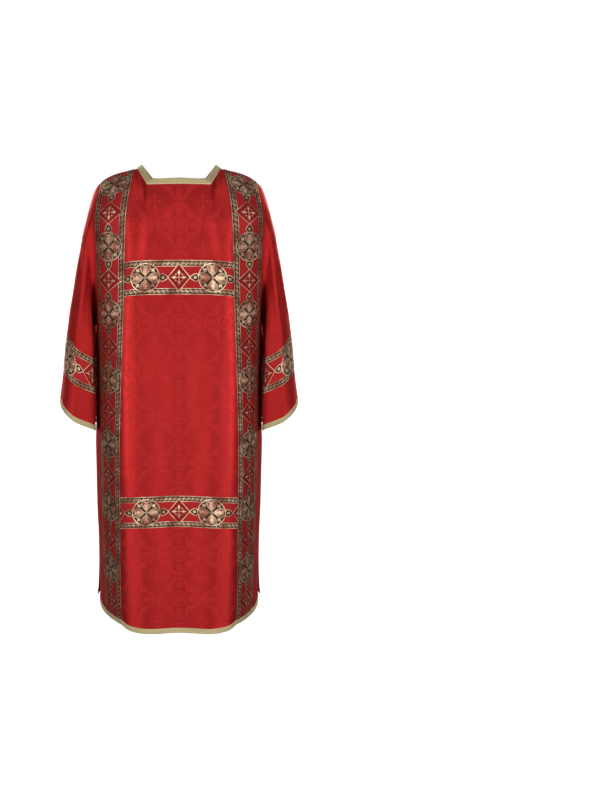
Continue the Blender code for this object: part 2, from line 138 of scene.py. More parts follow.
# Level sections of each panel, from the centre line round to the side edge:
# height, centre y, then x y of the corner, neck, band_in, band_out and side lines
FRONT_SECTIONS = (
    (-0.160, -0.128, 0.080, -0.131, 0.121, -0.133, 0.1405, -0.131, 0.2225, -0.086, 0.2260, -0.081),
    (-0.250, -0.142, 0.083, -0.145, 0.124, -0.147, 0.1435, -0.1405, 0.2205, -0.087, 0.2235, -0.082),
    (-0.340, -0.143, 0.086, -0.147, 0.126, -0.148, 0.1458, -0.141, 0.2190, -0.085, 0.2260, -0.067),
    (-0.430, -0.145, 0.089, -0.151, 0.129, -0.151, 0.1490, -0.144, 0.2160, -0.082, 0.2300, 0.000),
    (-0.570, -0.152, 0.093, -0.160, 0.1335, -0.158, 0.1545, -0.150, 0.2145, -0.081, 0.2310, 0.005),
    (-0.770, -0.166, 0.098, -0.177, 0.139, -0.172, 0.1605, -0.161, 0.2160, -0.086, 0.2385, 0.012),
    (-0.960, -0.180, 0.103, -0.191, 0.141, -0.184, 0.1605, -0.170, 0.2150, -0.095, 0.2385, 0.020),
    (-1.190, -0.195, 0.106, -0.205, 0.142, -0.193, 0.1605, -0.176, 0.2095, -0.098, 0.2340, 0.030),
    (-1.272, -0.200, 0.107, -0.209, 0.141, -0.196, 0.1590, -0.178, 0.2085, -0.101, 0.2350, 0.035),
)
BACK_SECTIONS = (
    (-0.160, 0.124, 0.078, 0.126, 0.113, 0.125, 0.1310, 0.121, 0.2130, 0.085, 0.2260, 0.077),
    (-0.250, 0.140, 0.079, 0.142, 0.115, 0.141, 0.1330, 0.136, 0.2125, 0.092, 0.2235, 0.079),
    (-0.340, 0.144, 0.081, 0.146, 0.117, 0.144, 0.1350, 0.138, 0.2125, 0.090, 0.2260, 0.065),
    (-0.430, 0.142, 0.083, 0.144, 0.119, 0.142, 0.1370, 0.136, 0.2125, 0.084, 0.2300, 0.000),
    (-0.570, 0.139, 0.085, 0.142, 0.122, 0.140, 0.1400, 0.134, 0.2120, 0.082, 0.2310, 0.005),
    (-0.770, 0.148, 0.088, 0.152, 0.126, 0.150, 0.1440, 0.143, 0.2155, 0.089, 0.2385, 0.012),
    (-0.960, 0.164, 0.090, 0.170, 0.129, 0.166, 0.1470, 0.158, 0.2180, 0.102, 0.2390, 0.033),
    (-1.190, 0.182, 0.092, 0.190, 0.133, 0.184, 0.1510, 0.175, 0.2205, 0.119, 0.2400, 0.048),
    (-1.272, 0.188, 0.094, 0.197, 0.134, 0.191, 0.1525, 0.181, 0.2240, 0.124, 0.2455, 0.053),
)

# How far a level line sinks from the centre to the bands and the side: height, sink
SINK = (
    (-0.160, 0.000),
    (-0.250, 0.007),
    (-0.340, 0.007),
    (-0.884, 0.009),
    (-0.970, 0.009),
    (-1.257, -0.014),
    (-1.272, -0.014),
)

# Soft upright folds of the solids: x at their top, x at the hem, height they start at,
# half width, rise. FOLD_GROWTH is the power by which they grow on their way down.
FOLD_GROWTH = 0.7
FRONT_FOLDS = (
    (0.000, 0.000, -0.90, 0.045, -0.003),
)
BACK_FOLDS = (
    (-0.090, -0.104, -0.50, 0.030, 0.007),
    (-0.030, -0.036, -0.42, 0.028, 0.009),
    (0.032, 0.040, -0.55, 0.028, 0.010),
    (0.092, 0.108, -0.45, 0.030, 0.008),
)

# Sleeve hoops from the armhole to the cuff. Over-arm x z, under-arm x z,
# half depth, how far the under-arm side wraps round the body
SLEEVE_HOOPS = (
    (0.2215, -0.0545, 0.2300, -0.4300, 0.084, 0.000),
    (0.2290, -0.0660, 0.2365, -0.4310, 0.079, 0.000),
    (0.2400, -0.0940, 0.2400, -0.4370, 0.078, 0.003),
    (0.2500, -0.1300, 0.2410, -0.4470, 0.085, 0.007),
    (0.2605, -0.1700, 0.2412, -0.4580, 0.092, 0.011),
    (0.2695, -0.2150, 0.2414, -0.4700, 0.097, 0.014),
    (0.2795, -0.2600, 0.2416, -0.4820, 0.101, 0.016),
    (0.2880, -0.3070, 0.2418, -0.4940, 0.104, 0.018),
    (0.2970, -0.3580, 0.2420, -0.5070, 0.106, 0.019),
    (0.3060, -0.4060, 0.2425, -0.5190, 0.107, 0.020),
    (0.3115, -0.4500, 0.2430, -0.5310, 0.108, 0.020),
    (0.3165, -0.4840, 0.2433, -0.5620, 0.109, 0.020),
    (0.3200, -0.5180, 0.2438, -0.5930, 0.110, 0.020),
    (0.3245, -0.5530, 0.2443, -0.6240, 0.111, 0.020),
    (0.3300, -0.5960, 0.2452, -0.6680, 0.112, 0.020),
    (0.3355, -0.6370, 0.2460, -0.7120, 0.113, 0.020),
    (0.3368, -0.6530, 0.2460, -0.7270, 0.113, 0.020),
)
SLEEVE_BAND_HOOPS = (10, 13)
CUFF_GALLOON_HOOPS = (15, 16)
SETTLED_HOOP = 7
HOOP_CELLS = 6

# Shape of a hoop: the power of its round. Where it wraps round the body: the share of the
# under half over which the wrap grows, the wrap that flattens that half in full, by how
# much, the half depth that takes the whole wrap, and how far a deeper hoop goes past it
HOOP_ROUND = 0.88
WRAP_REACH = 0.8
FULL_WRAP = 0.02
WRAP_FLAT = 0.7
WRAP_DEPTH = 0.085
MOST_WRAP = 1.2

# A turn of the sleeve and the step between its hoops, as lengths that the folds are
# measured in
TURN = 0.78
HOOP_STEP = 0.042

# Finer folds of the panels: x z at the top, x z at the foot, half width at the top
# and at the foot, rise (a trough where it is below 0)
FRONT_CREASES = (
    (-0.056, -0.084, -0.014, -0.250, 0.016, 0.020, 0.0022),
    (0.056, -0.084, 0.014, -0.245, 0.016, 0.020, 0.0021),
    (-0.098, -0.020, -0.106, -0.250, 0.013, 0.020, 0.0030),
    (0.098, -0.020, 0.106, -0.250, 0.013, 0.020, 0.0030),
    (-0.128, -0.080, -0.136, -0.300, 0.016, 0.018, 0.0026),
    (0.128, -0.080, 0.136, -0.300, 0.016, 0.018, 0.0026),
    (-0.150, -0.360, -0.152, -0.900, 0.016, 0.018, 0.0024),
    (0.150, -0.370, 0.152, -0.890, 0.016, 0.018, 0.0024),
    (-0.152, -0.930, -0.150, -1.300, 0.017, 0.019, 0.0014),
    (0.152, -0.920, 0.150, -1.300, 0.017, 0.019, 0.0014),
    (-0.106, -0.380, -0.112, -1.260, 0.020, 0.024, 0.0016),
    (0.107, -0.390, 0.112, -1.250, 0.020, 0.024, 0.0016),
    (-0.048, -0.560, -0.058, -1.240, 0.026, 0.034, 0.0006),
    (0.044, -0.520, 0.056, -1.200, 0.026, 0.034, 0.0005),
    (0.000, -0.560, 0.000, -1.420, 0.034, 0.042, 0.0044),
    (0.228, -0.760, 0.226, -1.150, 0.010, 0.016, -0.0030),
    (-0.228, -0.780, -0.226, -1.180, 0.010, 0.016, -0.0030),
)
BACK_CREASES = (
    (-0.110, -0.120, -0.070, -0.330, 0.016, 0.026, 0.0038),
    (0.108, -0.130, 0.074, -0.340, 0.016, 0.026, 0.0036),
    (-0.062, -0.350, -0.072, -1.300, 0.016, 0.030, 0.0052),
    (0.050, -0.370, 0.062, -1.300, 0.017, 0.030, 0.0056),
    (-0.006, -0.400, -0.010, -1.310, 0.015, 0.026, -0.0076),
    (-0.106, -0.430, -0.118, -1.300, 0.012, 0.020, -0.0050),
    (0.100, -0.460, 0.116, -1.300, 0.012, 0.020, -0.0046),
    (-0.140, -0.380, -0.146, -1.280, 0.012, 0.016, 0.0034),
    (0.140, -0.400, 0.148, -1.280, 0.012, 0.016, 0.0032),
    (0.022, -0.800, 0.028, -1.290, 0.008, 0.013, 0.0024),
    (-0.038, -0.860, -0.046, -1.290, 0.008, 0.013, -0.0020),
    (-0.205, -0.110, -0.150, -0.210, 0.009, 0.014, -0.0025),
    (0.207, -0.100, 0.158, -0.230, 0.009, 0.014, -0.0028),
    (-0.212, -0.230, -0.205, -0.380, 0.008, 0.014, -0.0030),
    (0.212, -0.210, 0.206, -0.400, 0.008, 0.014, -0.0034),
)

# Finer folds of a sleeve: hoop and turn at the top, hoop and turn at the foot, half width
# in turns at the top and at the foot, rise. A turn is 0 over the arm, 0.25 in front,
# 0.5 under it and 0.75 behind.
SLEEVE_CREASES = (
    (1.0, 0.060, 9.0, 0.100, 0.026, 0.036, 0.0018),
    (2.0, 0.120, 13.0, 0.165, 0.026, 0.038, -0.0010),
    (2.0, 0.215, 16.8, 0.270, 0.032, 0.042, 0.0034),
    (-3.0, 0.392, 13.4, 0.370, 0.028, 0.032, -0.0205),
    (8.0, 0.436, 18.6, 0.430, 0.022, 0.026, 0.0044),
    (4.0, 0.600, 16.0, 0.596, 0.024, 0.030, 0.0074),
    (9.0, 0.040, 16.5, 0.080, 0.022, 0.032, -0.0018),
    (7.0, 0.120, 10.5, 0.060, 0.016, 0.020, 0.0014),
    (1.0, 0.930, 9.5, 0.885, 0.024, 0.034, 0.0034),
    (2.0, 0.855, 13.0, 0.800, 0.022, 0.036, -0.0036),
    (3.0, 0.790, 16.5, 0.725, 0.024, 0.038, 0.0042),
    (5.0, 0.710, 16.5, 0.660, 0.020, 0.032, -0.0040),
    (9.0, 0.945, 16.5, 0.915, 0.020, 0.030, -0.0026),
    (8.0, 0.880, 11.0, 0.940, 0.014, 0.018, 0.0020),
)

# How much further round the right sleeve's folds end than the left's, in turns, and the
# hoop by which the folds of both have their full height
RIGHT_SLEEVE_TURN = 0.012
CREASE_HOOP = 2.0

# A finer fold wanders off its line by up to this length, in waves along it. It is wider on
# one side than on the other, and fades out over this share of its length at each end.
PANEL_WANDER = 0.003
SLEEVE_WANDER = 0.004
WANDER_WAVES = (6.0, 2.3)
WANDER_TURN = 1.7
CREASE_LEAN = 0.15
CREASE_FADE = 0.22

# Under the long bands the finer folds of a panel lose this share of their height, starting
# this far inside and outside them in places. They grow over these rows from the shoulder,
# and die out over this many places to a sewn side, whose hold ends over these rows below
# the seam.
UNDER_BAND = 0.55
BAND_FADE = (0.4, 0.3)
YOKE_FADE = 14.0
SIDE_FADE = 0.7
SLIT_FADE = 30.0

# Slow swell of the hanging cloth: its height, how many waves it has, the length of the
# first and the step to the next, across and down, their slant, each piece's own number,
# and how much that number and each wave are turned on
PANEL_SWELL = 0.0011
SLEEVE_SWELL = 0.0012
SWELL_WAVES = 7
SWELL_ACROSS = (0.050, 0.021)
SWELL_DOWN = (0.310, 0.130)
SWELL_SLANT = 7.2
SWELL_SEEDS = {"front": 1.0, "back": 2.0, "left": 3.0, "right": 4.0}
SEED_TURN = 2.1
WAVE_TURN = 1.3

# Bands, in the band's own plane: s across it, t along it. The lines at an edge run from
# one s to another. MEDALLION is a radius, LOZENGE half a width and half a height, and BEAD
# the distance from the medallion's middle, half a length and half a width.
BAND_HALF = 0.046
REPEAT = 0.1785
EDGE_LINE = (0.0440, 0.0459)
INNER_LINE = (0.0292, 0.0306)
MEDALLION = 0.0388
LOZENGE = (0.0362, 0.0297)
BEAD = (0.0493, 0.0118, 0.0142)

# How sharp a bead's point is, the share of its size left open in its middle, how far its
# eye is from that, and how far the dots of a lozenge are from its middle
BEAD_POINT = 0.7
BEAD_HOLE = 0.04
BEAD_EYE = 0.0028
DOT_PLACE = 0.0118

# Small gold plates, as inner and outer radius, and the inner radius of the medallion
BUTTON = (0.0022, 0.0034)
EYE = (0.0014, 0.0038)
DOT = (0.0003, 0.0017)
CROSS_BUTTON = (0.0003, 0.0022)
MEDALLION_HOLE = 0.0010

# Steps of the figure's points: along the borders, between the strokes of a border, round a
# lozenge, and at most in any cell
BORDER_STEP = 0.0055
STROKE_STEP = 0.0124
LOZENGE_STEP = 0.0042
LONGEST_CELL = 0.0036

# Height of a medallion on the long bands, and its distance from under the arm
MEDALLION_HEIGHT = -0.751
SLEEVE_MEDALLION = 0.1075

# Widths of the gold lines
RIM_LINE = 0.0024
PETAL_LINE = 0.0013
INNER_PETAL_LINE = 0.0009
BEAD_LINE = 0.0016
LOZENGE_LINE = 0.0014

# The damask's repeat. In a quarter of it, as distances from its middle or its corner: the
# lobes of the quatrefoil and their radius, where they stop at their neighbours, its band
# and the vein in it, the ring, the rosette with its heart, the palm and its ribs, the
# sprig, and the leafy cross in its square. An oval is given as the squares of its half
# lengths and how soft its edge is.
DAMASK_REPEAT = 0.127
SOFT_EDGE = 0.0007
LOBE = (0.0345, 0.0265)
LOBE_STOP = 0.0365
LOBE_BAND = 0.0036
VEIN = 0.0007
RING = (0.0205, 0.0019)
ROSETTE = 0.0155
ROSETTE_NOTCH = 0.016
LEAST_RADIUS = 0.0001
HEART = 0.0034
PALM_PLACE = 0.0395
PALM_OVAL = (0.000150, 0.000075, 0.08)
PALM_RIBS = (0.0044, 0.0014)
PALM_SLANT = 1.4
SPRIG_PLACE = 0.0365
SPRIG_OVAL = (0.000060, 0.000012, 0.1)
DIAGONAL = 0.7071
CROSS_LENGTH = 0.0150
CROSS_HALF = 0.0004
CROSS_TAPER = 0.28
CROSS_SQUARE = (0.0235, 0.0011)

# The threads of the damask, and its slubs, as how fine they are across and down
DAMASK_THREADS = (1500.0, 420.0, 1.0)
DAMASK_SLUBS = (70.0, 520.0, 1.0)

# The brocade's ribs, the floats of its metal thread, and the threads that bind them: their
# step, slant and half width, and how soft their edge is
BROCADE_RIB = 0.0011
FLOAT = 0.00062
BINDING_STEP = 0.0031
BINDING_SLANT = 2.7
BINDING = (0.00022, 0.0002)

# The braid's width, its height profile, its slanting ribs, and the stitches from its edge
GALLOON_WIDTH = 0.017
GALLOON_PROFILE = (0.35, 1.0, 0.62, 0.70, 0.74, 0.70, 0.62, 1.0, 0.35)
BRAID_RIB = 0.0024
BRAID_SLANT = 0.8
BRAID_STITCHES = 0.0030

# Machine stitches: their step, and half the width and length of one, each with how soft
# its edge is
STITCH_STEP = 0.0032
STITCH_WIDTH = (0.00032, 0.0002)
STITCH_LENGTH = (0.001088, 0.0003)

# The threads of a band's figure, and how far its first layer stands off the band's ground
# and each next layer off the one below
DARK, RED, GOLD, TAWNY = range(4)
BAND_THREADS = ("dark_thread", "deep_brocade", "gold_thread", "tawny_thread")
FIRST_LAYER = 0.00012
LAYER_STEP = 0.00011

# Half outlines, from the root to the tip: half width, distance along the axis
PETAL = (
    (0.0005, 0.0052),
    (0.0034, 0.0086),
    (0.0078, 0.0134),
    (0.0116, 0.0194),
    (0.0136, 0.0254),
    (0.0126, 0.0304),
    (0.0094, 0.0336),
    (0.0050, 0.0332),
    (0.0004, 0.0300),
)
INNER_PETAL = np.array(PETAL) * (0.76, 0.82) + (0.0, 0.0030)
LEAFLET = (
    (0.0003, 0.0000),
    (0.0013, 0.0024),
    (0.0014, 0.0050),
    (0.0002, 0.0086),
)
# Pairs of leaflets in a heart: place on the stem, angle from it, size, tone
LEAFLETS = (
    (0.0100, 0.90, 0.82, GOLD),
    (0.0139, 0.88, 1.08, TAWNY),
    (0.0184, 0.82, 1.20, GOLD),
    (0.0226, 0.62, 1.06, TAWNY),
    (0.0264, 0.34, 0.60, GOLD),
)
STEM = (
    (0.0003, 0.0080),
    (0.0012, 0.0150),
    (0.0014, 0.0240),
    (0.0003, 0.0304),
)
SPRIG = (
    (0.0005, 0.0222),
    (0.0009, 0.0246),
    (0.0026, 0.0278),
    (0.0014, 0.0296),
    (0.0020, 0.0322),
    (0.0002, 0.0350),
)
# Where the sprig's side leaves spring from it, and their angle
SPRIG_FORK = (0.0252, 0.85)
SPRIG_SIDE = (
    (0.0004, 0.0000),
    (0.0015, 0.0030),
    (0.0012, 0.0056),
    (0.0002, 0.0080),
)
CROSS_ARM = (
    (0.0008, 0.0042),
    (0.0011, 0.0096),
    (0.0044, 0.0118),
    (0.0038, 0.0142),
    (0.0014, 0.0140),
    (0.0019, 0.0164),
    (0.0002, 0.0205),
)
STROKE = (
    (0.0003, -0.0060),
    (0.0013, -0.0040),
    (0.0018, -0.0006),
    (0.0012, 0.0030),
    (0.0003, 0.0060),
)
THIN_STROKE = np.array(STROKE) * (0.42, 0.78)

# Tilt of each stroke of the borders, and where the thin ones lie between the others
STROKE_TILT = 0.95
THIN_TILT = 0.80
THIN_PLACE = 0.47

# Points nearer than MERGE become one, and an edge shorter than SHORTEST_EDGE goes. Heights
# that differ by NO_HEIGHT are equal, and NO_LENGTH keeps a division from failing.
MERGE = 2e-6
SHORTEST_EDGE = 1e-6
NO_HEIGHT = 1e-9
NO_LENGTH = 1e-12

# Camera: place, tilt, lens, sensor and sideways shift
CAMERA = (0.0, -2.8, -0.1088)
CAMERA_DOWN = math.radians(11.0)
LENS_MM = 45.0
SENSOR_MM = 36.0
CAMERA_SHIFT = 0.15125

# Hem over the floor, and half the floor's width
FLOOR_DROP = 0.180
FLOOR_HALF = 40.0
WHITE = (1.0, 1.0, 1.0, 1.0)

# Wide soft lamps, far off: name, azimuth from the front, elevation, width, power
LAMPS = (
    ("front_left", -35.0, 4.0, 20.0, 1.48),
    ("above", 0.0, 78.0, 34.0, 0.55),
    ("front_right", 35.0, 4.0, 20.0, 1.48),
    ("back_left", -149.0, 8.0, 20.0, 1.30),
    ("back_right", 149.0, 8.0, 20.0, 1.30),
)


def slopes(knots, values):
    """Tangents of smooth lines through the values at the knots."""
    steps = np.diff(knots, axis=-1)[..., None]
    rates = np.diff(values, axis=-2) / steps
    before = steps[..., :-1, :]
    after = steps[..., 1:, :]
    inner = (rates[..., :-1, :] * after + rates[..., 1:, :] * before) / (before + after)
    return np.concatenate([rates[..., :1, :], inner, rates[..., -1:, :]], axis=-2)


def curve_between(a, b, leave, arrive, s):
    """The smooth curve from a to b that leaves and arrives in the given directions."""
    return (
        (2 * s**3 - 3 * s**2 + 1) * a
        + (s**3 - 2 * s**2 + s) * leave
        + (3 * s**2 - 2 * s**3) * b
        + (s**3 - s**2) * arrive
    )


def read_line(knots, values, at):
    """The smooth line through the values at the knots, read at each of `at`."""
    knots = np.asarray(knots, float)
    tangents = slopes(knots, values)
    i = np.clip(np.searchsorted(knots, at, side="right") - 1, 0, len(knots) - 2)
    h = (knots[i + 1] - knots[i])[:, None]
    s = (at - knots[i])[:, None] / h
    return curve_between(values[i], values[i + 1], tangents[i] * h, tangents[i + 1] * h, s)


def finer(grid, times):
    """The same surface with more rows, curved between the old ones."""
    rows = len(grid)
    at = np.linspace(0.0, rows - 1.0, (rows - 1) * times + 1)
    found = read_line(np.arange(rows), grid.reshape(rows, -1), at)
    return found.reshape(len(at), *grid.shape[1:])


def lengths_along(line, axis=0):
    """Distance of each point of a line from its first point."""
    steps = np.linalg.norm(np.diff(line, axis=axis), axis=-1)
    return np.insert(np.cumsum(steps, axis=axis), 0, 0.0, axis=axis)


def smooth_step(s):
    """From 0 to 1 with an easy start and end."""
    s = np.clip(s, 0.0, 1.0)
    return s * s * (3 - 2 * s)


def unit(vectors):
    """The same directions, one long."""
    return vectors / np.maximum(np.linalg.norm(vectors, axis=-1, keepdims=True), NO_LENGTH)


def section_marks(sections, heights):
    """The six landmarks of level sections, as (height, landmark, x y).

    The side edge is a line of its own in each of its three lengths: the
    armhole, the sewn seam and the open slit.
    """
    rows = np.array(sections)[::-1]
    found = read_line(rows[:, 0], rows[:, 1:], heights)
    ends = (HEM, SLIT_TOP, UNDERARM, CHEST)
    part = np.where(heights >= UNDERARM, 2, np.where(heights >= SLIT_TOP, 1, 0))
    for k in range(3):
        own = rows[(rows[:, 0] >= ends[k] - NO_HEIGHT) & (rows[:, 0] <= ends[k + 1] + NO_HEIGHT)]
        here = part == k
        found[here, -2:] = read_line(own[:, 0], own[:, -2:], heights[here])
    centre = np.stack([np.zeros(len(heights)), found[:, 0]], axis=1)
    return np.concatenate([centre[:, None], found[:, 1:].reshape(-1, 5, 2)], axis=1)


def fold_rise(folds, x, heights):
    """How far the upright folds move the cloth outwards."""
    total = np.zeros_like(x)
    for x_top, x_hem, start, half_width, rise in folds:
        down = np.clip((heights - start) / (HEM - start), 0.0, 1.0)
        away = (x - (x_top + (x_hem - x_top) * down)) / half_width
        total += rise * down**FOLD_GROWTH * np.exp(-away * away)
    return total


def mirror(place):
    """Factors that turn a point to the place's own side of the middle."""
    return np.array([-1.0 if place < 0 else 1.0, 1.0, 1.0])


class Panel:
    """The front or the back, read at a place across (0 centre to 5 side) and heights."""

    def __init__(self, top, opening, sections, other, folds, creases, outward):
        self.top = np.array(top)
        self.opening = np.array(opening)
        self.sections = sections
        self.other = other
        self.folds = folds
        self.creases = creases
        self.outward = outward

    def level(self, place, heights):
        """Points of the level part, below the chest line. `place` runs from -5 to 5."""
        across = abs(place)
        sink = np.array(SINK)
        reach = min(across / BAND_PLACES[0], 1.0)
        heights = heights - reach**2 * np.interp(-heights, -sink[:, 0], sink[:, 1])
        marks = section_marks(self.sections, heights)
        beyond = section_marks(self.other, heights)[:, 4:5]
        line = np.concatenate([marks[:, 1:2] * (-1.0, 1.0), marks, beyond], axis=1)
        knots = lengths_along(line, 1)
        tangents = slopes(knots, line)
        i = min(int(across), 4) + 1
        h = (knots[:, i + 1] - knots[:, i])[:, None]
        leave, arrive = tangents[:, i] * h, tangents[:, i + 1] * h
        found = curve_between(line[:, i], line[:, i + 1], leave, arrive, across - i + 1)
        x = found[:, 0] * mirror(place)[0] if place else np.zeros(len(heights))
        fade = max(0.0, 1.0 - max(0.0, across - BAND_PLACES[1]))
        y = found[:, 1] + self.outward * fade * fold_rise(self.folds, x, heights)
        return np.stack([x, y, heights], axis=1)

    def edge(self, place):
        """A point of the top edge and the direction in which the cloth leaves it."""
        across = abs(place)
        i = min(int(across), 4)
        found = self.top[i] + (across - i) * (self.top[i + 1] - self.top[i])
        if across > NECK_PLACE:
            at = np.array([found[0]])
            found[:3] = read_line(self.top[2:, 0], self.top[2:, :3], at)[0]
        return found[:3] * mirror(place), found[3:] * mirror(place)

    def yoke(self, place, s):
        """Points of the part over the shoulder: s is 0 at the top edge, 1 at the chest line."""
        start, leave = self.edge(place)
        end, above = self.level(place, np.array([CHEST, CHEST + YOKE_REACH]))
        span = np.linalg.norm(end - start)
        leave = unit(leave) * span * YOKE_SPRING
        arrive = unit(end - above) * span
        return curve_between(start, end, leave, arrive, s[:, None])

    def rim(self, place):
        """A point of the edge of the neck opening, for places up to the neck."""
        across = abs(place)
        i = min(int(across), 1)
        found = self.opening[i] + (across - i) * (self.opening[i + 1] - self.opening[i])
        return found * mirror(place)


PANELS = {
    "front": Panel(
        FRONT_TOP,
        FRONT_OPENING,
        FRONT_SECTIONS,
        BACK_SECTIONS,
        FRONT_FOLDS,
        FRONT_CREASES,
        outward=-1.0,
    ),
    "back": Panel(
        BACK_TOP,
        BACK_OPENING,
        BACK_SECTIONS,
        FRONT_SECTIONS,
        BACK_FOLDS,
        BACK_CREASES,
        outward=1.0,
    ),
}


def places_across():
    """The place of each column, from one side edge to the other."""
    half = [i + (k + 1) / cells for i, cells in enumerate(CELLS) for k in range(cells)]
    return [-place for place in half[::-1]] + [0.0] + half


PLACES = places_across()


def level_rows():
    """Heights of the rows from the chest line down, and the row of each level line."""
    heights = [CHEST]
    rows = {CHEST: YOKE_ROWS}
    for top, foot in zip(LEVEL_LINES, LEVEL_LINES[1:]):
        cells = max(HEM_CELLS if foot == HEM else 1, math.ceil((top - foot) / ROW_STEP))
        heights += [top + (foot - top) * (k + 1) / cells for k in range(cells)]
        rows[foot] = YOKE_ROWS + len(heights) - 1
    return np.array(heights), rows


HEIGHTS, ROW = level_rows()


def columns_between(first, last):
    """The columns from one place to another, both with their own column."""
    return slice(PLACES.index(first), PLACES.index(last) + 1)


def crease_rise(u, v, creases, wander):
    """Rise of soft folds, each along a line from one point to another in (u, v)."""
    total = np.zeros_like(u)
    quick, slow = WANDER_WAVES
    for n, (u0, v0, u1, v1, width0, width1, rise) in enumerate(creases):
        length = math.hypot(u1 - u0, v1 - v0)
        along = ((u - u0) * (u1 - u0) + (v - v0) * (v1 - v0)) / length**2
        off = ((u - u0) * (v1 - v0) - (v - v0) * (u1 - u0)) / length
        off += wander * np.sin(along * quick + WANDER_TURN * n) * np.sin(along * slow + n)
        width = width0 + (width1 - width0) * np.clip(along, 0.0, 1.0)
        width *= 1.0 + CREASE_LEAN * np.where(off > 0, 1.0, -1.0)
        fade = smooth_step(along / CREASE_FADE) * smooth_step((1.0 - along) / CREASE_FADE)
        total += rise * fade * np.exp(-((off / width) ** 2))
    return total


def swell(u, v, seed):
    """Slow uneven swell of hanging cloth, from a few waves."""
    total = np.zeros_like(u)
    for n in range(SWELL_WAVES):
        turn = seed * SEED_TURN + n * WAVE_TURN
        across = 2 * math.pi / (SWELL_ACROSS[0] + SWELL_ACROSS[1] * n)
        down = 2 * math.pi / (SWELL_DOWN[0] + SWELL_DOWN[1] * (n * 3 % 5))
        slant = SWELL_SLANT * math.sin(turn)
        total += np.sin(across * u + slant * v + turn) * np.sin(down * v + 2.0 * turn)
    return total / SWELL_WAVES


def grid_normals(grid, closed=False):
    """Unit normals of a grid of points, along rows cross down columns."""
    down = np.gradient(grid, axis=0)
    if closed:
        right = np.roll(grid, -1, axis=1) - np.roll(grid, 1, axis=1)
    else:
        right = np.gradient(grid, axis=1)
    return unit(np.cross(down, right))


def panel_freedom(rows):
    """How freely the finer folds of a panel show at each row and column."""
    places = np.abs(PLACES)
    down = np.arange(rows)[:, None]
    from_inside = (places - BAND_PLACES[0]) / BAND_FADE[0] + 1.0
    from_outside = (BAND_PLACES[1] - places) / BAND_FADE[1] + 1.0
    under_band = smooth_step(from_inside) * smooth_step(from_outside)
    side = 1.0 - smooth_step((SIDE_PLACE - places) / SIDE_FADE)
    sewn = smooth_step((ROW[SLIT_TOP] + SLIT_FADE - down) / SLIT_FADE)
    return (1.0 - UNDER_BAND * under_band) * smooth_step(down / YOKE_FADE) * (1.0 - side * sewn)


def panel_forms():
    """The surface of each panel with its finer folds, and the strips at the neck."""
    forms = {}
    s = np.arange(YOKE_ROWS) / YOKE_ROWS
    for side, panel in PANELS.items():
        columns = [np.vstack([panel.yoke(u, s), panel.level(u, HEIGHTS)]) for u in PLACES]
        grid = np.array(columns).transpose(1, 0, 2)
        normals = grid_normals(grid)
        normals *= np.sign(np.sum(normals[-1, :, 1])) * panel.outward
        x, z = grid[..., 0], grid[..., 2]
        rise = crease_rise(x, z, panel.creases, PANEL_WANDER)
        rise += PANEL_SWELL * swell(x, z, SWELL_SEEDS[side])
        rise *= panel_freedom(len(grid))
        forms[side] = grid + normals * rise[..., None]
        neck = columns_between(-NECK_PLACE, NECK_PLACE)
        rim = np.array([panel.rim(u) for u in PLACES[neck]])
        share = np.linspace(0.0, 1.0, RIM_LINES)[:, None, None]
        forms[side + " rim"] = rim + (grid[0, neck] - rim) * share
    return forms


def arc_shares(line):
    """How far along the line each of its points is, from 0 to 1."""
    lengths = lengths_along(line)
    return lengths / lengths[-1]


def hoop_points(row, angles, outward):
    """Half a hoop, from over the arm to under it."""
    over_x, over_z, under_x, under_z, half_depth, wrap = row
    centre = np.array([(over_x + under_x) / 2, 0.0, (over_z + under_z) / 2])
    arm = np.array([(over_x - under_x) / 2, 0.0, (over_z - under_z) / 2])
    along = np.cos(angles)
    out = np.maximum(np.sin(angles), 0.0) ** HOOP_ROUND
    near = smooth_step(-along / WRAP_REACH)
    flat = np.abs(along) ** (1.0 - WRAP_FLAT * min(wrap / FULL_WRAP, 1.0) * near)
    along = np.where(along < 0, -flat, along)
    points = centre + arm * along[:, None]
    points[:, 1] += outward * half_depth * out
    points[:, 0] -= wrap * np.minimum(out * half_depth / WRAP_DEPTH, MOST_WRAP) ** 2 * near
    return points


def away_from(middle, grid, normals):
    """The normals, all turned over if they point towards the middle."""
    return normals * np.sign(np.sum(normals * (grid - middle)))


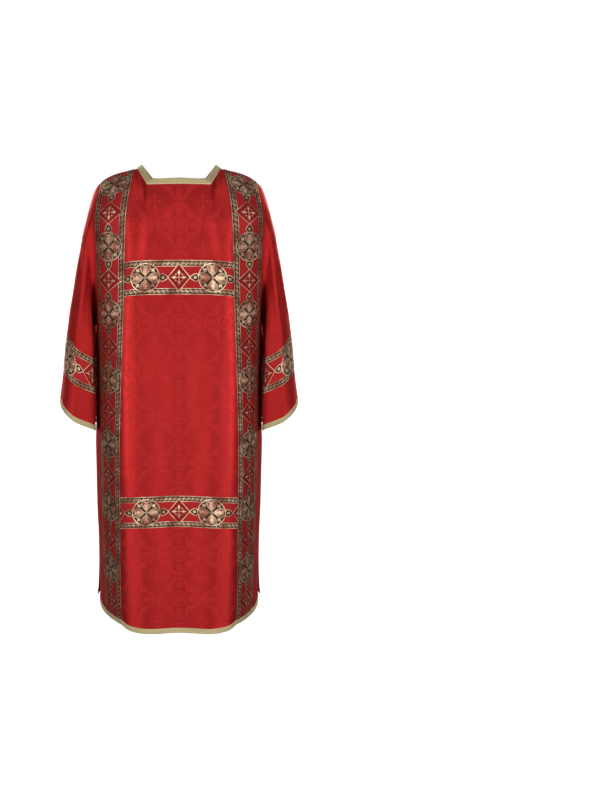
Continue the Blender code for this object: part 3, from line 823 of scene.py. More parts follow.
def sleeve_form(side):
    """Hoops of a sleeve. Columns: front over-arm to under-arm, then back up."""
    left = side == "left"
    table = np.array(SLEEVE_HOOPS)
    count = len(table)
    hoops = np.linspace(0.0, count - 1.0, (count - 1) * HOOP_CELLS + 1)
    knots = lengths_along(table[:, :4])
    rows = read_line(knots, table, np.interp(hoops, np.arange(count), knots))
    armhole = slice(0, ROW[UNDERARM] + 1)
    way = mirror(1.0 if left else -1.0)
    edges = [FORMS[panel][armhole, -1 if left else 0] * way for panel in PANELS]
    found = []
    for hoop, row in zip(hoops, rows):
        settled = smooth_step(hoop / SETTLED_HOOP)
        keep = smooth_step(1.0 - hoop / SETTLED_HOOP)
        halves = []
        for edge, panel in zip(edges, PANELS.values()):
            shares = arc_shares(edge)
            even = np.linspace(0.0, 1.0, len(shares))
            start = hoop_points(SLEEVE_HOOPS[0], math.pi * shares, panel.outward)
            angles = math.pi * (shares * (1 - settled) + even * settled)
            halves.append(hoop_points(row, angles, panel.outward) + (edge - start) * keep)
        found.append(np.vstack([halves[0], halves[1][-2:0:-1]]))
    tube = np.array(found)
    shift = 0.0 if left else RIGHT_SLEEVE_TURN
    creases = [
        (a * TURN, b * HOOP_STEP, (c + shift) * TURN, d * HOOP_STEP, w0 * TURN, w1 * TURN, rise)
        for b, a, d, c, w0, w1, rise in SLEEVE_CREASES
    ]
    turns = np.arange(tube.shape[1]) / tube.shape[1]
    u, v = np.meshgrid(turns * TURN, hoops * HOOP_STEP)
    rise = crease_rise(u, v, creases, SLEEVE_WANDER) + SLEEVE_SWELL * swell(u, v, SWELL_SEEDS[side])
    rise *= smooth_step(hoops / CREASE_HOOP)[:, None]
    normals = away_from(tube.mean(axis=1, keepdims=True), tube, grid_normals(tube, closed=True))
    return (tube + normals * rise[..., None]) * way


FORMS = panel_forms()
SLEEVES = {side: sleeve_form(side) for side in ("left", "right")}


def weave_lengths(grid, chest=0):
    """Where each point lies on the flat cloth: distance from the centre, distance down.

    Distances down start at the chest row. Above it the grain runs straight up.
    """
    centre = grid.shape[1] // 2
    u = lengths_along(grid, 1)
    u -= u[:, centre : centre + 1]
    if chest:
        u[:chest] = np.interp(grid[:chest, :, 0], grid[chest, :, 0], u[chest])
    v = lengths_along(grid)
    v -= v[chest]
    return np.stack([u, v], axis=-1)


def grid_area(grid):
    """Area of a grid's cells, each as two triangles."""
    first = np.cross(grid[1:, :-1] - grid[:-1, :-1], grid[:-1, 1:] - grid[:-1, :-1])
    second = np.cross(grid[1:, :-1] - grid[1:, 1:], grid[:-1, 1:] - grid[1:, 1:])
    return 0.5 * (np.linalg.norm(first, axis=2).sum() + np.linalg.norm(second, axis=2).sum())


def close_round(grid):
    """The grid with its first column again at the end."""
    return np.concatenate([grid, grid[:, :1]], axis=1)


def piece_from(name, mesh, weave, clean=None):
    """Lays the weave's lengths on a mesh, joins its points and puts it in the scene."""
    corners = np.empty(len(mesh.loops), np.int32)
    mesh.loops.foreach_get("vertex_index", corners)
    layer = mesh.uv_layers.new(name="weave")
    layer.data.foreach_set("uv", np.array(weave, np.float32)[corners].ravel())
    work = bmesh.new()
    work.from_mesh(mesh)
    bmesh.ops.remove_doubles(work, verts=work.verts, dist=MERGE)
    if clean:
        clean(work)
    work.to_mesh(mesh)
    work.free()
    mesh.shade_smooth()
    piece = bpy.data.objects.new(name, mesh)
    bpy.context.scene.collection.objects.link(piece)
    return piece


class Cloth:
    """Grids of points joined into one open surface, with lengths for the weave."""

    def __init__(self):
        self.points = []
        self.cells = []
        self.lengths = []
        self.area = 0.0

    def add(self, grid, flip, chest=0):
        """Adds a grid of cells, with the faces turned over where `flip` says so."""
        rows, columns = grid.shape[:2]
        first = len(self.points)
        self.points += grid.reshape(-1, 3).tolist()
        self.lengths += weave_lengths(grid, chest).reshape(-1, 2).tolist()
        for r in range(rows - 1):
            for c in range(columns - 1):
                a = first + r * columns + c
                cell = (a, a + columns, a + columns + 1, a + 1)
                self.cells.append(cell[::-1] if flip else cell)
        self.area += grid_area(grid)

    def build(self, name, material, thickness):
        """The piece, with its wall inside the surface."""
        mesh = bpy.data.meshes.new(name)
        mesh.from_pydata(self.points, [], self.cells)
        mesh.materials.append(material)
        piece = piece_from(name, mesh, self.lengths)
        wall = piece.modifiers.new("wall", "SOLIDIFY")
        wall.thickness = thickness
        wall.offset = -1.0
        return piece


class Strip:
    """A band's surface, read at s across it and t along it."""

    def __init__(self, grid, inside):
        self.grid = grid
        normals = grid_normals(grid.transpose(1, 0, 2)).transpose(1, 0, 2)
        self.normals = away_from(inside, grid, normals)
        self.t = lengths_along(grid[:, grid.shape[1] // 2])

    def move_origin(self, t):
        """Makes this place along the band its new zero."""
        self.t = self.t - t

    def read(self, s, t):
        """Points and normals of the surface at each (s, t)."""
        rows, columns = self.grid.shape[:2]
        row = np.interp(t, self.t, np.arange(rows))
        column = np.clip((s / BAND_HALF + 1.0) / 2.0, 0.0, 1.0) * (columns - 1)
        r = np.minimum(row.astype(int), rows - 2)
        c = np.minimum(column.astype(int), columns - 2)
        a = (row - r)[..., None]
        b = (column - c)[..., None]
        found = []
        for field in (self.grid, self.normals):
            top = field[r, c] * (1 - b) + field[r, c + 1] * b
            low = field[r + 1, c] * (1 - b) + field[r + 1, c + 1] * b
            found.append(top * (1 - a) + low * a)
        return found[0], unit(found[1])

    def ground(self):
        """The outer face of the band's own cloth."""
        return self.grid + self.normals * (LIFT + BAND_CLOTH)


def finely(corners, step):
    """The line round the corners with a point at least every step."""
    found = []
    for a, b in zip(corners, np.roll(corners, -1, axis=0)):
        count = math.ceil(np.linalg.norm(b - a) / step)
        found += [a + (b - a) * k / count for k in range(count)]
    return np.array(found)


def ribbon(line, width):
    """A strip of even width round a closed line."""
    way = unit(np.roll(line, -1, axis=0) - np.roll(line, 1, axis=0))
    side = np.stack([-way[:, 1], way[:, 0]], axis=1) * width / 2
    found = np.stack([line - side, line + side], axis=1)
    return np.concatenate([found, found[:1]])


def turned(points, turn, at):
    """Points moved from an upright drawing to its place: turned by `turn`, set at `at`."""
    cos, sin = math.cos(turn), math.sin(turn)
    x = points[..., 0] * cos + points[..., 1] * sin
    y = -points[..., 0] * sin + points[..., 1] * cos
    return np.stack([x, y], axis=-1) + np.array(at)


def leaf(half, turn, at, lines=3, stations=None):
    """A shape that is even on both sides of its own axis, from its half outline."""
    half = np.array(half)
    if stations:
        knots = lengths_along(half)
        half = read_line(knots, half, np.linspace(0.0, knots[-1], stations))
    share = np.linspace(-1.0, 1.0, lines)
    across = half[:, :1] * share
    along = np.repeat(half[:, 1:], lines, axis=1)
    return turned(np.stack([across, along], axis=-1), turn, at)


def outline(half, turn, at, stations):
    """The closed outline of such a shape."""
    grid = leaf(half, turn, at, 2, stations)
    return np.vstack([grid[:, 0], grid[::-1, 1]])


def circle(radius, at, count):
    """A round line of `count` points."""
    angle = np.arange(count) * 2 * math.pi / count
    return np.stack([radius * np.cos(angle), radius * np.sin(angle)], axis=1) + np.array(at)


def disc(inner, outer, at, rings, count):
    """A round plate as rings of cells."""
    radii = np.linspace(inner, outer, rings + 1)
    found = np.array([circle(radius, at, count) for radius in radii])
    return close_round(found)


def divided(plane, longest):
    """The same drawing with no side of a cell longer than this."""
    for axis in (0, 1):
        sides = np.linalg.norm(np.diff(plane, axis=axis), axis=2).max(axis=1 - axis)
        counts = np.maximum(np.ceil(sides / longest), 1).astype(int)
        stations = [k + np.arange(count) / count for k, count in enumerate(counts)]
        stations = np.append(np.concatenate(stations), len(sides))
        low = np.minimum(stations.astype(int), len(sides) - 1)
        share = (stations - low).reshape((-1, 1, 1) if axis == 0 else (1, -1, 1))
        plane = np.take(plane, low, axis) * (1 - share) + np.take(plane, low + 1, axis) * share
    return plane


class Figure:
    """Flat shapes laid on a strip, each a small grid of cells in one tone."""

    def __init__(self, strip):
        self.strip = strip
        self.points = []
        self.lengths = []
        self.cells = []
        self.tones = []
        self.count = 0

    def lay(self, plane, tone, layer):
        """Lays a (rows, columns, s t) drawing, cut off at the ends of the strip."""
        plane = divided(plane, LONGEST_CELL)
        rows, columns = plane.shape[:2]
        s, t = plane[..., 0], plane[..., 1]
        first, last = self.strip.t[0], self.strip.t[-1]
        if t.min() >= last or t.max() <= first:
            return
        t = np.clip(t, first, last)
        points, normals = self.strip.read(s, t)
        points += normals * (LIFT + BAND_CLOTH + FIRST_LAYER + LAYER_STEP * layer)
        start = self.count
        self.points.append(points.reshape(-1, 3))
        self.lengths.append(np.stack([s, t], axis=-1).reshape(-1, 2))
        self.count += rows * columns
        for r in range(rows - 1):
            for c in range(columns - 1):
                own = t[r : r + 2, c : c + 2]
                if own.max() <= first or own.min() >= last:
                    continue
                a = start + r * columns + c
                self.cells.append((a, a + 1, a + columns + 1, a + columns))
                self.tones.append(tone)

    def build(self, name, materials):
        """The piece, a single layer of cells that all look outwards."""
        mesh = bpy.data.meshes.new(name)
        mesh.from_pydata(np.vstack(self.points).tolist(), [], self.cells)
        for material in materials:
            mesh.materials.append(material)
        mesh.polygons.foreach_set("material_index", self.tones)
        return piece_from(name, mesh, np.vstack(self.lengths), self.clean)

    def clean(self, work):
        """Removes cells with no area and turns the others to look the strip's way."""
        bmesh.ops.dissolve_degenerate(work, edges=work.edges, dist=SHORTEST_EDGE)
        work.normal_update()
        ways = self.strip.normals.reshape(-1, 3)
        tree = KDTree(len(ways))
        for i, point in enumerate(self.strip.grid.reshape(-1, 3)):
            tree.insert(point, i)
        tree.balance()
        wrong = []
        for face in work.faces:
            near = tree.find(face.calc_center_median())[1]
            if face.normal.dot(ways[near]) < 0:
                wrong.append(face)
        bmesh.ops.reverse_faces(work, faces=wrong)


def draw_pair(figure, half, axis, root, angle, tone, layer):
    """Two leaves that spring from a place on an axis, one to each side of it."""
    turn, at = axis
    place = turned(np.array([0.0, root]), turn, at)
    for side in (-1.0, 1.0):
        figure.lay(leaf(half, turn + side * angle, place, lines=2), tone, layer)


def draw_medallion(figure, t):
    """A dark roundel with a gold rim, four leaves in hearts and four sprigs."""
    at = (0.0, t)
    figure.lay(disc(MEDALLION_HOLE, MEDALLION, at, rings=7, count=40), DARK, 2)
    figure.lay(ribbon(circle(MEDALLION - RIM_LINE / 2, at, count=56), RIM_LINE), GOLD, 5)
    for k in range(4):
        turn = k * math.pi / 2
        figure.lay(leaf(INNER_PETAL, turn, at, lines=5, stations=12), RED, 3)
        figure.lay(ribbon(outline(PETAL, turn, at, stations=18), PETAL_LINE), GOLD, 5)
        figure.lay(ribbon(outline(INNER_PETAL, turn, at, stations=14), INNER_PETAL_LINE), GOLD, 5)
        figure.lay(leaf(STEM, turn, at, lines=2), GOLD, 4)
        for root, angle, size, tone in LEAFLETS:
            draw_pair(figure, np.array(LEAFLET) * size, (turn, at), root, angle, tone, 4)
        turn += math.pi / 4
        figure.lay(leaf(SPRIG, turn, at), GOLD, 4)
        draw_pair(figure, SPRIG_SIDE, (turn, at), *SPRIG_FORK, GOLD, 5)
    figure.lay(disc(*BUTTON, at, rings=1, count=18), GOLD, 5)


def draw_bead(figure, t, way):
    """A drop between a medallion and a lozenge, its point towards the lozenge."""
    away, half_length, half_width = BEAD
    at = (0.0, t + way * away)
    angle = np.arange(24) * 2 * math.pi / 24
    across = half_width * np.sin(angle) * (0.5 * (1 - np.cos(angle))) ** BEAD_POINT
    drop = np.stack([across, way * half_length * np.cos(angle)], axis=1) + at
    eye = np.array(at) - (0.0, way * BEAD_EYE)
    inner = eye + (drop - eye) * BEAD_HOLE
    share = np.linspace(0.0, 1.0, 3)[:, None, None]
    figure.lay(close_round(inner + (drop - inner) * share), DARK, 3)
    figure.lay(ribbon(drop, BEAD_LINE), GOLD, 5)
    figure.lay(disc(*EYE, eye, rings=1, count=16), GOLD, 4)


def draw_lozenge(figure, t):
    """A gold lozenge with a cross of four leafy arms in it, laid over the borders."""
    at = (0.0, t)
    wide, tall = LOZENGE
    corners = np.array([(wide, 0.0), (0.0, tall), (-wide, 0.0), (0.0, -tall)]) + at
    share = np.linspace(0.0, 1.0, 9)[:, None]
    left = corners[3] + (corners[2] - corners[3]) * share
    right = corners[0] + (corners[1] - corners[0]) * share
    figure.lay(left[:, None] + (right - left)[:, None] * share, RED, 2)
    figure.lay(ribbon(finely(corners, LOZENGE_STEP), LOZENGE_LINE), GOLD, 3)
    for k in range(4):
        turn = k * math.pi / 2
        figure.lay(leaf(CROSS_ARM, turn, at), GOLD, 3)
        dot = turned(np.array([0.0, DOT_PLACE]), turn + math.pi / 4, at)
        figure.lay(disc(*DOT, dot, rings=1, count=8), GOLD, 3)
    figure.lay(disc(*CROSS_BUTTON, at, rings=1, count=10), GOLD, 4)


def draw_borders(figure):
    """Both edges: gold lines on each side of a dark strip of slanting leaves."""
    first, last = figure.strip.t[0], figure.strip.t[-1]
    stations = np.linspace(first, last, math.ceil((last - first) / BORDER_STEP) + 1)
    inner, outer = INNER_LINE[1], EDGE_LINE[0]
    for side in (-1.0, 1.0):
        for edges, tone, layer, columns in (
            ((inner, outer), DARK, 0, 7),
            (EDGE_LINE, GOLD, 1, 2),
            (INNER_LINE, GOLD, 1, 2),
        ):
            across = side * np.linspace(*edges, columns)
            figure.lay(np.stack(np.meshgrid(across, stations), axis=-1), tone, layer)
        middle = side * (inner + outer) / 2
        for k in range(math.ceil((last - first) / STROKE_STEP)):
            t = first + (k + 0.5) * STROKE_STEP
            thin = (middle, t + THIN_PLACE * STROKE_STEP)
            figure.lay(leaf(STROKE, side * STROKE_TILT, (middle, t)), TAWNY, 1)
            figure.lay(leaf(THIN_STROKE, side * THIN_TILT, thin, lines=2), GOLD, 1)


def draw_band(strip):
    """The whole woven figure of a band: medallions and lozenges by turns."""
    figure = Figure(strip)
    low = math.floor(strip.t[0] / REPEAT) - 1
    high = math.ceil(strip.t[-1] / REPEAT) + 1
    for k in range(low, high + 1):
        draw_medallion(figure, k * REPEAT)
        draw_bead(figure, k * REPEAT, 1.0)
        draw_bead(figure, k * REPEAT, -1.0)
        draw_lozenge(figure, (k + 0.5) * REPEAT)
    draw_borders(figure)
    return figure


class Number:
    """A shader's number, which can be added, multiplied and compared like a plain one."""

    def __init__(self, tree, socket):
        self.tree = tree
        self.socket = socket

    def do(self, operation, *others):
        """The number that an operation makes of this one and the others."""
        inputs = dict(enumerate((self, *others)))
        node = add_node(self.tree, "ShaderNodeMath", inputs, operation=operation)
        return Number(self.tree, node.outputs[0])

    def __add__(self, other):
        return self.do("ADD", other)

    def __sub__(self, other):
        return self.do("SUBTRACT", other)

    def __mul__(self, other):
        return self.do("MULTIPLY", other)

    def __truediv__(self, other):
        return self.do("DIVIDE", other)

    def __abs__(self):
        return self.do("ABSOLUTE")

    def least(self, other):
        return self.do("MINIMUM", other)

    def most(self, other):
        return self.do("MAXIMUM", other)

    def repeat(self, length):
        """Distance from the nearest multiple of a length."""
        return ((self / length + 0.5).do("FRACT") - 0.5) * length

    def below(self, edge, soft):
        """1 where the number is under the edge, 0 where it is over it."""
        return ((self * -1.0 + edge) / soft + 0.5).least(1.0).most(0.0)

    def rest(self):
        """What is left of 1."""
        return self * -1.0 + 1.0


def length_of(x, y):
    """Distance of (x, y) from the middle."""
    return (x * x + y * y).do("SQRT")


def oval(x, y, square_x, square_y, soft):
    """1 inside an oval, which is given by the squares of its half lengths."""
    return (x * x / square_x + y * y / square_y).do("SQRT").below(1.0, soft)


def add_node(tree, kind, inputs=None, **settings):
    """A shader node with its inputs, each a value, a number or a socket, and settings."""
    node = tree.nodes.new(kind)
    for key, value in settings.items():
        setattr(node, key, value)
    for key, value in (inputs or {}).items():
        if isinstance(value, Number):
            tree.links.new(value.socket, node.inputs[key])
        elif isinstance(value, bpy.types.NodeSocket):
            tree.links.new(value, node.inputs[key])
        else:
            node.inputs[key].default_value = value
    return node


def damask_figure(u, v):
    """The damask's own drawing: double quatrefoils that touch, with a rosette in each
    and a leafy cross between four of them. u and v are lengths on the flat cloth."""
    x = abs(u.repeat(DAMASK_REPEAT))
    y = abs(v.repeat(DAMASK_REPEAT))
    far, near = x.most(y), x.least(y)
    radius = length_of(x, y)
    lobe = length_of(far - LOBE[0], near) - LOBE[1]
    edge = abs(lobe.least(far - LOBE_STOP) + LOBE_BAND)
    quatrefoil = edge.below(LOBE_BAND, SOFT_EDGE) * edge.below(VEIN, SOFT_EDGE).rest()
    ring = abs(radius - RING[0]).below(RING[1], SOFT_EDGE)
    notch = abs(((far - near) / (radius + LEAST_RADIUS)) - 0.5) * ROSETTE_NOTCH
    heart = radius.below(HEART, SOFT_EDGE)
    rosette = (radius + notch).below(ROSETTE, SOFT_EDGE) * heart.rest()
    step, half_rib = PALM_RIBS
    ribs = abs((far + near * PALM_SLANT).repeat(step)).below(half_rib, SOFT_EDGE)
    palm = oval(far - PALM_PLACE, near, *PALM_OVAL) * ribs
    slant_far = (far + near) * DIAGONAL - SPRIG_PLACE
    slant_near = (far - near) * DIAGONAL
    sprig = oval(slant_far, slant_near, *SPRIG_OVAL)
    x, y = (side * -1.0 + DAMASK_REPEAT / 2 for side in (x, y))
    far, near = x.most(y), x.least(y)
    arm = (near - far * CROSS_TAPER).below(CROSS_HALF, SOFT_EDGE)
    arm = arm * far.below(CROSS_LENGTH, SOFT_EDGE)
    square = abs(far + near - CROSS_SQUARE[0]).below(CROSS_SQUARE[1], SOFT_EDGE)
    found = quatrefoil
    for more in (ring, rosette, palm, sprig, arm, square):
        found = found.most(more)
    return found


def lengths_on_cloth(tree):
    """The place on the flat cloth, as a vector and as lengths across and down."""
    weave = add_node(tree, "ShaderNodeUVMap", uv_map="weave")
    parts = add_node(tree, "ShaderNodeSeparateXYZ", {0: weave.outputs[0]})
    return weave.outputs[0], Number(tree, parts.outputs[0]), Number(tree, parts.outputs[1])


def noise(tree, vector, scale, detail):
    """Uneven tone from 0 to 1, finer with the scale."""
    inputs = {"Vector": vector, "Scale": scale, "Detail": detail}
    return Number(tree, add_node(tree, "ShaderNodeTexNoise", inputs).outputs[0])


def stretched(tree, vector, scale):
    """The vector scaled by its own number along each axis."""
    inputs = {0: vector, 1: scale}
    return add_node(tree, "ShaderNodeVectorMath", inputs, operation="MULTIPLY").outputs[0]


def mixed(tree, share, first, second):
    """A blend of two tones, each a colour or a socket."""
    inputs = {0: share}
    for i, tone in ((6, first), (7, second)):
        inputs[i] = tone if isinstance(tone, bpy.types.NodeSocket) else (*tone, 1.0)
    return add_node(tree, "ShaderNodeMix", inputs, data_type="RGBA").outputs[2]


def shaded(tree, tone, shade):
    """A tone made darker or lighter by a number."""
    return add_node(tree, "ShaderNodeVectorMath", {0: tone, 3: shade}, operation="SCALE").outputs[0]


def darker(colour, share):
    """A colour times a share, which may be over 1."""
    return tuple(part * share for part in colour)


def stitches(off, along):
    """A row of machine stitches: 1 on the thread. `off` is the distance from the row."""
    across = abs(off).below(*STITCH_WIDTH)
    return across * abs(along.repeat(STITCH_STEP)).below(*STITCH_LENGTH)


def relief(tree, height, distance, strength, below=None):
    """A surface raised by a number, on top of another relief where one is given."""
    inputs = {"Height": height, "Distance": distance, "Strength": strength}
    if below:
        inputs["Normal"] = below
    return add_node(tree, "ShaderNodeBump", inputs).outputs[0]


def new_material(name, **constants):
    """A material whose even values sit on the shader's own sockets."""
    material = bpy.data.materials.new(name)
    material.use_nodes = True
    shader = material.node_tree.nodes["Principled BSDF"]
    for key, value in constants.items():
        shader.inputs[key.replace("_", " ")].default_value = value
    return material, material.node_tree, shader


def finish_material(tree, shader, tone, rough, normal):
    """Links a cloth's colour, roughness and relief to its shader."""
    tree.links.new(tone, shader.inputs["Base Color"])
    tree.links.new(rough.socket, shader.inputs["Roughness"])
    tree.links.new(normal, shader.inputs["Normal"])


def damask_material(name, look, matt):
    """Red satin damask: a smooth ground and a matt raised figure. `matt` is how much
    less lustre it has where its threads lie across, as on the sleeves."""
    material, tree, shader = new_material(
        name,
        Metallic=0.75,
        Sheen_Weight=0.05,
        Sheen_Roughness=0.4,
        Sheen_Tint=(1.0, 0.30, 0.25, 1.0),
        Specular_Tint=(1.0, 0.40, 0.35, 1.0),
    )
    vector, u, v = lengths_on_cloth(tree)
    patchy = noise(tree, vector, 26.0, 3.0)
    shown = damask_figure(u, v) * (patchy * 0.7 + 0.45).least(1.0)
    threads = noise(tree, stretched(tree, vector, DAMASK_THREADS), 1.0, 1.0)
    slow = noise(tree, vector, 5.0, 2.0)
    slubs = noise(tree, stretched(tree, vector, DAMASK_SLUBS), 1.0, 2.0)
    tone = mixed(tree, shown * 0.95, look.damask, look.damask_figure)
    tone = shaded(tree, tone, threads * 0.16 + slow * 0.14 + slubs * 0.24 + 0.73)
    rough = shown * 0.20 + threads * 0.06 + (0.465 + matt)
    normal = relief(tree, shown * 0.30 + threads * 0.40, 0.00030, 0.7)
    finish_material(tree, shader, tone, rough, normal)
    return material


def brocade_material(name, look, share):
    """The bands' red ground: a fine rib across the band. `share` darkens it."""
    material, tree, shader = new_material(
        name,
        Metallic=0.70,
        Sheen_Weight=0.04,
        Sheen_Tint=(1.0, 0.4, 0.35, 1.0),
        Specular_Tint=(1.0, 0.6, 0.5, 1.0),
    )
    vector, _, v = lengths_on_cloth(tree)
    rib = abs(v.repeat(BROCADE_RIB)) / (BROCADE_RIB / 2)
    grain = noise(tree, vector, 1300.0, 1.0)
    slow = noise(tree, vector, 14.0, 2.0)
    red = darker(look.brocade, share)
    tone = mixed(tree, grain * 0.3 + rib * 0.3 + slow * 0.4, red, darker(red, 1.4))
    normal = relief(tree, rib * 0.6 + grain * 0.4, 0.00025, 0.6)
    finish_material(tree, shader, tone, grain * 0.14 + 0.56, normal)
    return material


def metal_thread_material(name, look, worn_from):
    """Gold thread in short floats across the band. It is brown where it is worn or
    lies another way, and bright where it faces a light. Random lighter and darker
    specks in its colour are painted glints of the metal."""
    material, tree, shader = new_material(
        name, Metallic=0.95, Specular_Tint=(1.0, 0.78, 0.60, 1.0)
    )
    vector, u, v = lengths_on_cloth(tree)
    floats = abs(v.repeat(FLOAT)) / (FLOAT / 2)
    bound = abs((u + v * BINDING_SLANT).repeat(BINDING_STEP)).below(*BINDING)
    thread = floats.most(bound)
    lie = noise(tree, vector, 42.0, 2.0)
    worn = ((noise(tree, vector, 24.0, 3.0) - worn_from).most(0.0) * 5.5).least(1.0)
    # Random specks that make the thread's colour lighter and darker: painted glints of the metal
    glint_speck = (noise(tree, vector, 260.0, 2.0) - 0.5) * 1.3
    stitch = stitches(abs(u) - sum(EDGE_LINE) / 2, v)
    tone = mixed(tree, worn, look.gold, look.gold_worn)
    # The tone is made lighter and darker by the painted glints
    tone = shaded(tree, tone, thread * -0.36 + stitch * -0.42 + glint_speck + 1.0)
    soft = relief(tree, lie, 0.0030, 0.9)
    normal = relief(tree, thread * -1.0 - stitch, 0.00022, 0.7, soft)
    finish_material(tree, shader, tone, worn * 0.14 + lie * 0.14 + 0.38, normal)
    return material


def dark_thread_material(name, look):
    """The brown ground of the medallions and the borders."""
    material, tree, shader = new_material(
        name, Metallic=0.30, Specular_IOR_Level=0.25, Specular_Tint=(1.0, 0.62, 0.42, 1.0)
    )
    grain = noise(tree, lengths_on_cloth(tree)[0], 1200.0, 1.0)
    tone = mixed(tree, grain, look.dark, darker(look.dark, 2.2))
    finish_material(tree, shader, tone, grain * 0.2 + 0.48, relief(tree, grain, 0.0003, 0.6))
    return material


def braid_material(name, look):
    """Pale gold braid with fine slanting ribs, stitched along its edges. Its colour grows lighter
    towards the raised cords at its edges: partly paler cord, partly a painted highlight.
    """
    material, tree, shader = new_material(
        name, Metallic=0.30, Sheen_Weight=0.15, Sheen_Tint=(1.0, 0.92, 0.7, 1.0)
    )
    vector, u, v = lengths_on_cloth(tree)
    half = GALLOON_WIDTH / 2
    off = abs(v - half)
    ribs = abs((u + off * BRAID_SLANT).repeat(BRAID_RIB)) * 800.0
    grain = noise(tree, vector, 1400.0, 1.0)
    # edge grows from 0 in the middle to 1 at the raised edge cords, where the colour is made
    # lighter
    edge = off / half
    edge = (edge * edge * edge).least(1.0)
    share = (ribs * 0.6 + grain * 0.4).least(1.0)
    stitch = stitches(off - (half - BRAID_STITCHES), u)
    # The lighter colour of the edge cords: partly the cords' own paler tone, partly a painted
    # highlight
    pale = tuple(part * k for part, k in zip(look.braid, (1.38, 1.24, 1.30)))
    tone = mixed(tree, edge, darker(look.braid, 0.93), pale)
    tone = mixed(tree, share * 0.45, tone, (0.16, 0.12, 0.06))
    tone = mixed(tree, stitch * 0.55, tone, (0.22, 0.16, 0.07))
    normal = relief(tree, share * -1.0 - stitch * 0.7, 0.0006, 0.9)
    finish_material(tree, shader, tone, grain * 0.25 + 0.40, normal)
    return material


# The maker of each material, and what it is told besides the name and the colours
MATERIALS = {
    "red_damask": (damask_material, 0.0),
    "red_damask_across": (damask_material, 0.12),
    "red_brocade": (brocade_material, 1.0),
    "deep_brocade": (brocade_material, 0.66),
    "gold_thread": (metal_thread_material, 0.44),
    "tawny_thread": (metal_thread_material, 0.40),
    "dark_thread": (dark_thread_material,),
    "gold_braid": (braid_material,),
}


def material_named(name):
    """A material, made the first time that a piece asks for it."""
    make, *told = MATERIALS[name]
    found = bpy.data.materials.get(name)
    return found or make(name, bpy.context.scene.dalmatic_look, *told)


def clothe(node, fabric, material, grids, flip, chest=0):
    """Makes a node's shell of cloth and hides the node's own solid."""
    thickness = getattr(bpy.context.scene.dalmatic_sizes, fabric)
    cloth = Cloth()
    cloth.add(grids[0], flip, chest)
    for grid in grids[1:]:
        cloth.add(grid, flip)
    piece = cloth.build(f"{node}_{fabric}", material_named(material), thickness)
    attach(piece, "root")
    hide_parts(node)


def make_panels():
    """The front and the back, each with its strip at the neck."""
    for side in PANELS:
        grids = (FORMS[side], FORMS[side + " rim"])
        flip = side == "back"
        clothe(f"panel_{side}", "damask", "red_damask", grids, flip, chest=YOKE_ROWS)


def make_sleeves():
    """Both sleeves, sewn to the panels round the armhole."""
    for side, grid in SLEEVES.items():
        clothe(
            f"sleeve_{side}",
            "damask",
            "red_damask_across",
            (close_round(grid),),
            side == "left",
        )


def make_band(node, strip, flip):
    """A band's ground and the figure woven on it."""
    tones = [material_named(name) for name in BAND_THREADS]
    figure = draw_band(strip).build(f"{node}_figure", tones)
    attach(figure, "root")
    clothe(
        node,
        "brocade",
        "red_brocade",
        (strip.ground(),),
        flip,
    )


def make_orphreys():
    """The two long bands, from the front hem over the shoulder to the back hem."""
    foot = ROW[HEM_GALLOON_TOP] + 1
    band_in, band_out = BAND_PLACES
    for side, first, last in (("left", band_in, band_out), ("right", -band_out, -band_in)):
        columns = columns_between(first, last)
        front = FORMS["front"][:foot, columns][::-1]
        grid = np.vstack([front, FORMS["back"][1:foot, columns]])
        strip = Strip(grid, grid * (0.0, 0.0, 1.0))
        heights = front[:, front.shape[1] // 2, 2]
        strip.move_origin(np.interp(MEDALLION_HEIGHT, heights, strip.t[: len(heights)]))
        make_band(f"orphrey_{side}", strip, True)


def make_cross_bands():
    """The bands across the front and the back, each with a lozenge in its middle."""
    columns = columns_between(-BAND_PLACES[0], BAND_PLACES[0])
    for side in PANELS:
        for name, top, low in (
            ("upper", UPPER_BAND_TOP, UPPER_BAND_FOOT),
            ("lower", LOWER_BAND_TOP, LOWER_BAND_FOOT),
        ):
            grid = FORMS[side][ROW[top] : ROW[low] + 1, columns].transpose(1, 0, 2)
            strip = Strip(grid, grid * (0.0, 0.0, 1.0))
            strip.move_origin(strip.t[-1] / 2)
            strip.move_origin(REPEAT / 2)
            make_band(f"cross_band_{side}_{name}", strip, side == "front")


def hoops_between(side, landmarks):
    """The part of a sleeve's surface between two of its hoops."""
    first, last = (hoop * HOOP_CELLS for hoop in landmarks)
    return SLEEVES[side][first : last + 1]


def make_sleeve_bands():
    """The band round each sleeve, its two ends joined under the arm."""
    for side in SLEEVES:
        grid = hoops_between(side, SLEEVE_BAND_HOOPS).transpose(1, 0, 2)
        under_arm = len(grid) // 2
        grid = np.roll(grid, -under_arm, axis=0)
        grid = finer(np.concatenate([grid, grid[:1]]), times=3)
        strip = Strip(grid, grid.mean(axis=0, keepdims=True))
        strip.move_origin(strip.t[under_arm] + SLEEVE_MEDALLION)
        make_band(f"sleeve_band_{side}", strip, side == "right")


def lay_galloon(node, grid, normals, flip, closed=False):
    """A galloon: a cord along each edge and a low crown between them."""
    share = np.linspace(0.0, 1.0, len(grid))
    profile = np.interp(share, np.linspace(0.0, 1.0, len(GALLOON_PROFILE)), GALLOON_PROFILE)
    face = grid + normals * (LIFT + GALLOON_CLOTH * profile[:, None, None])
    if closed:
        face = close_round(face)
    clothe(node, "braid", "gold_braid", (face,), flip)


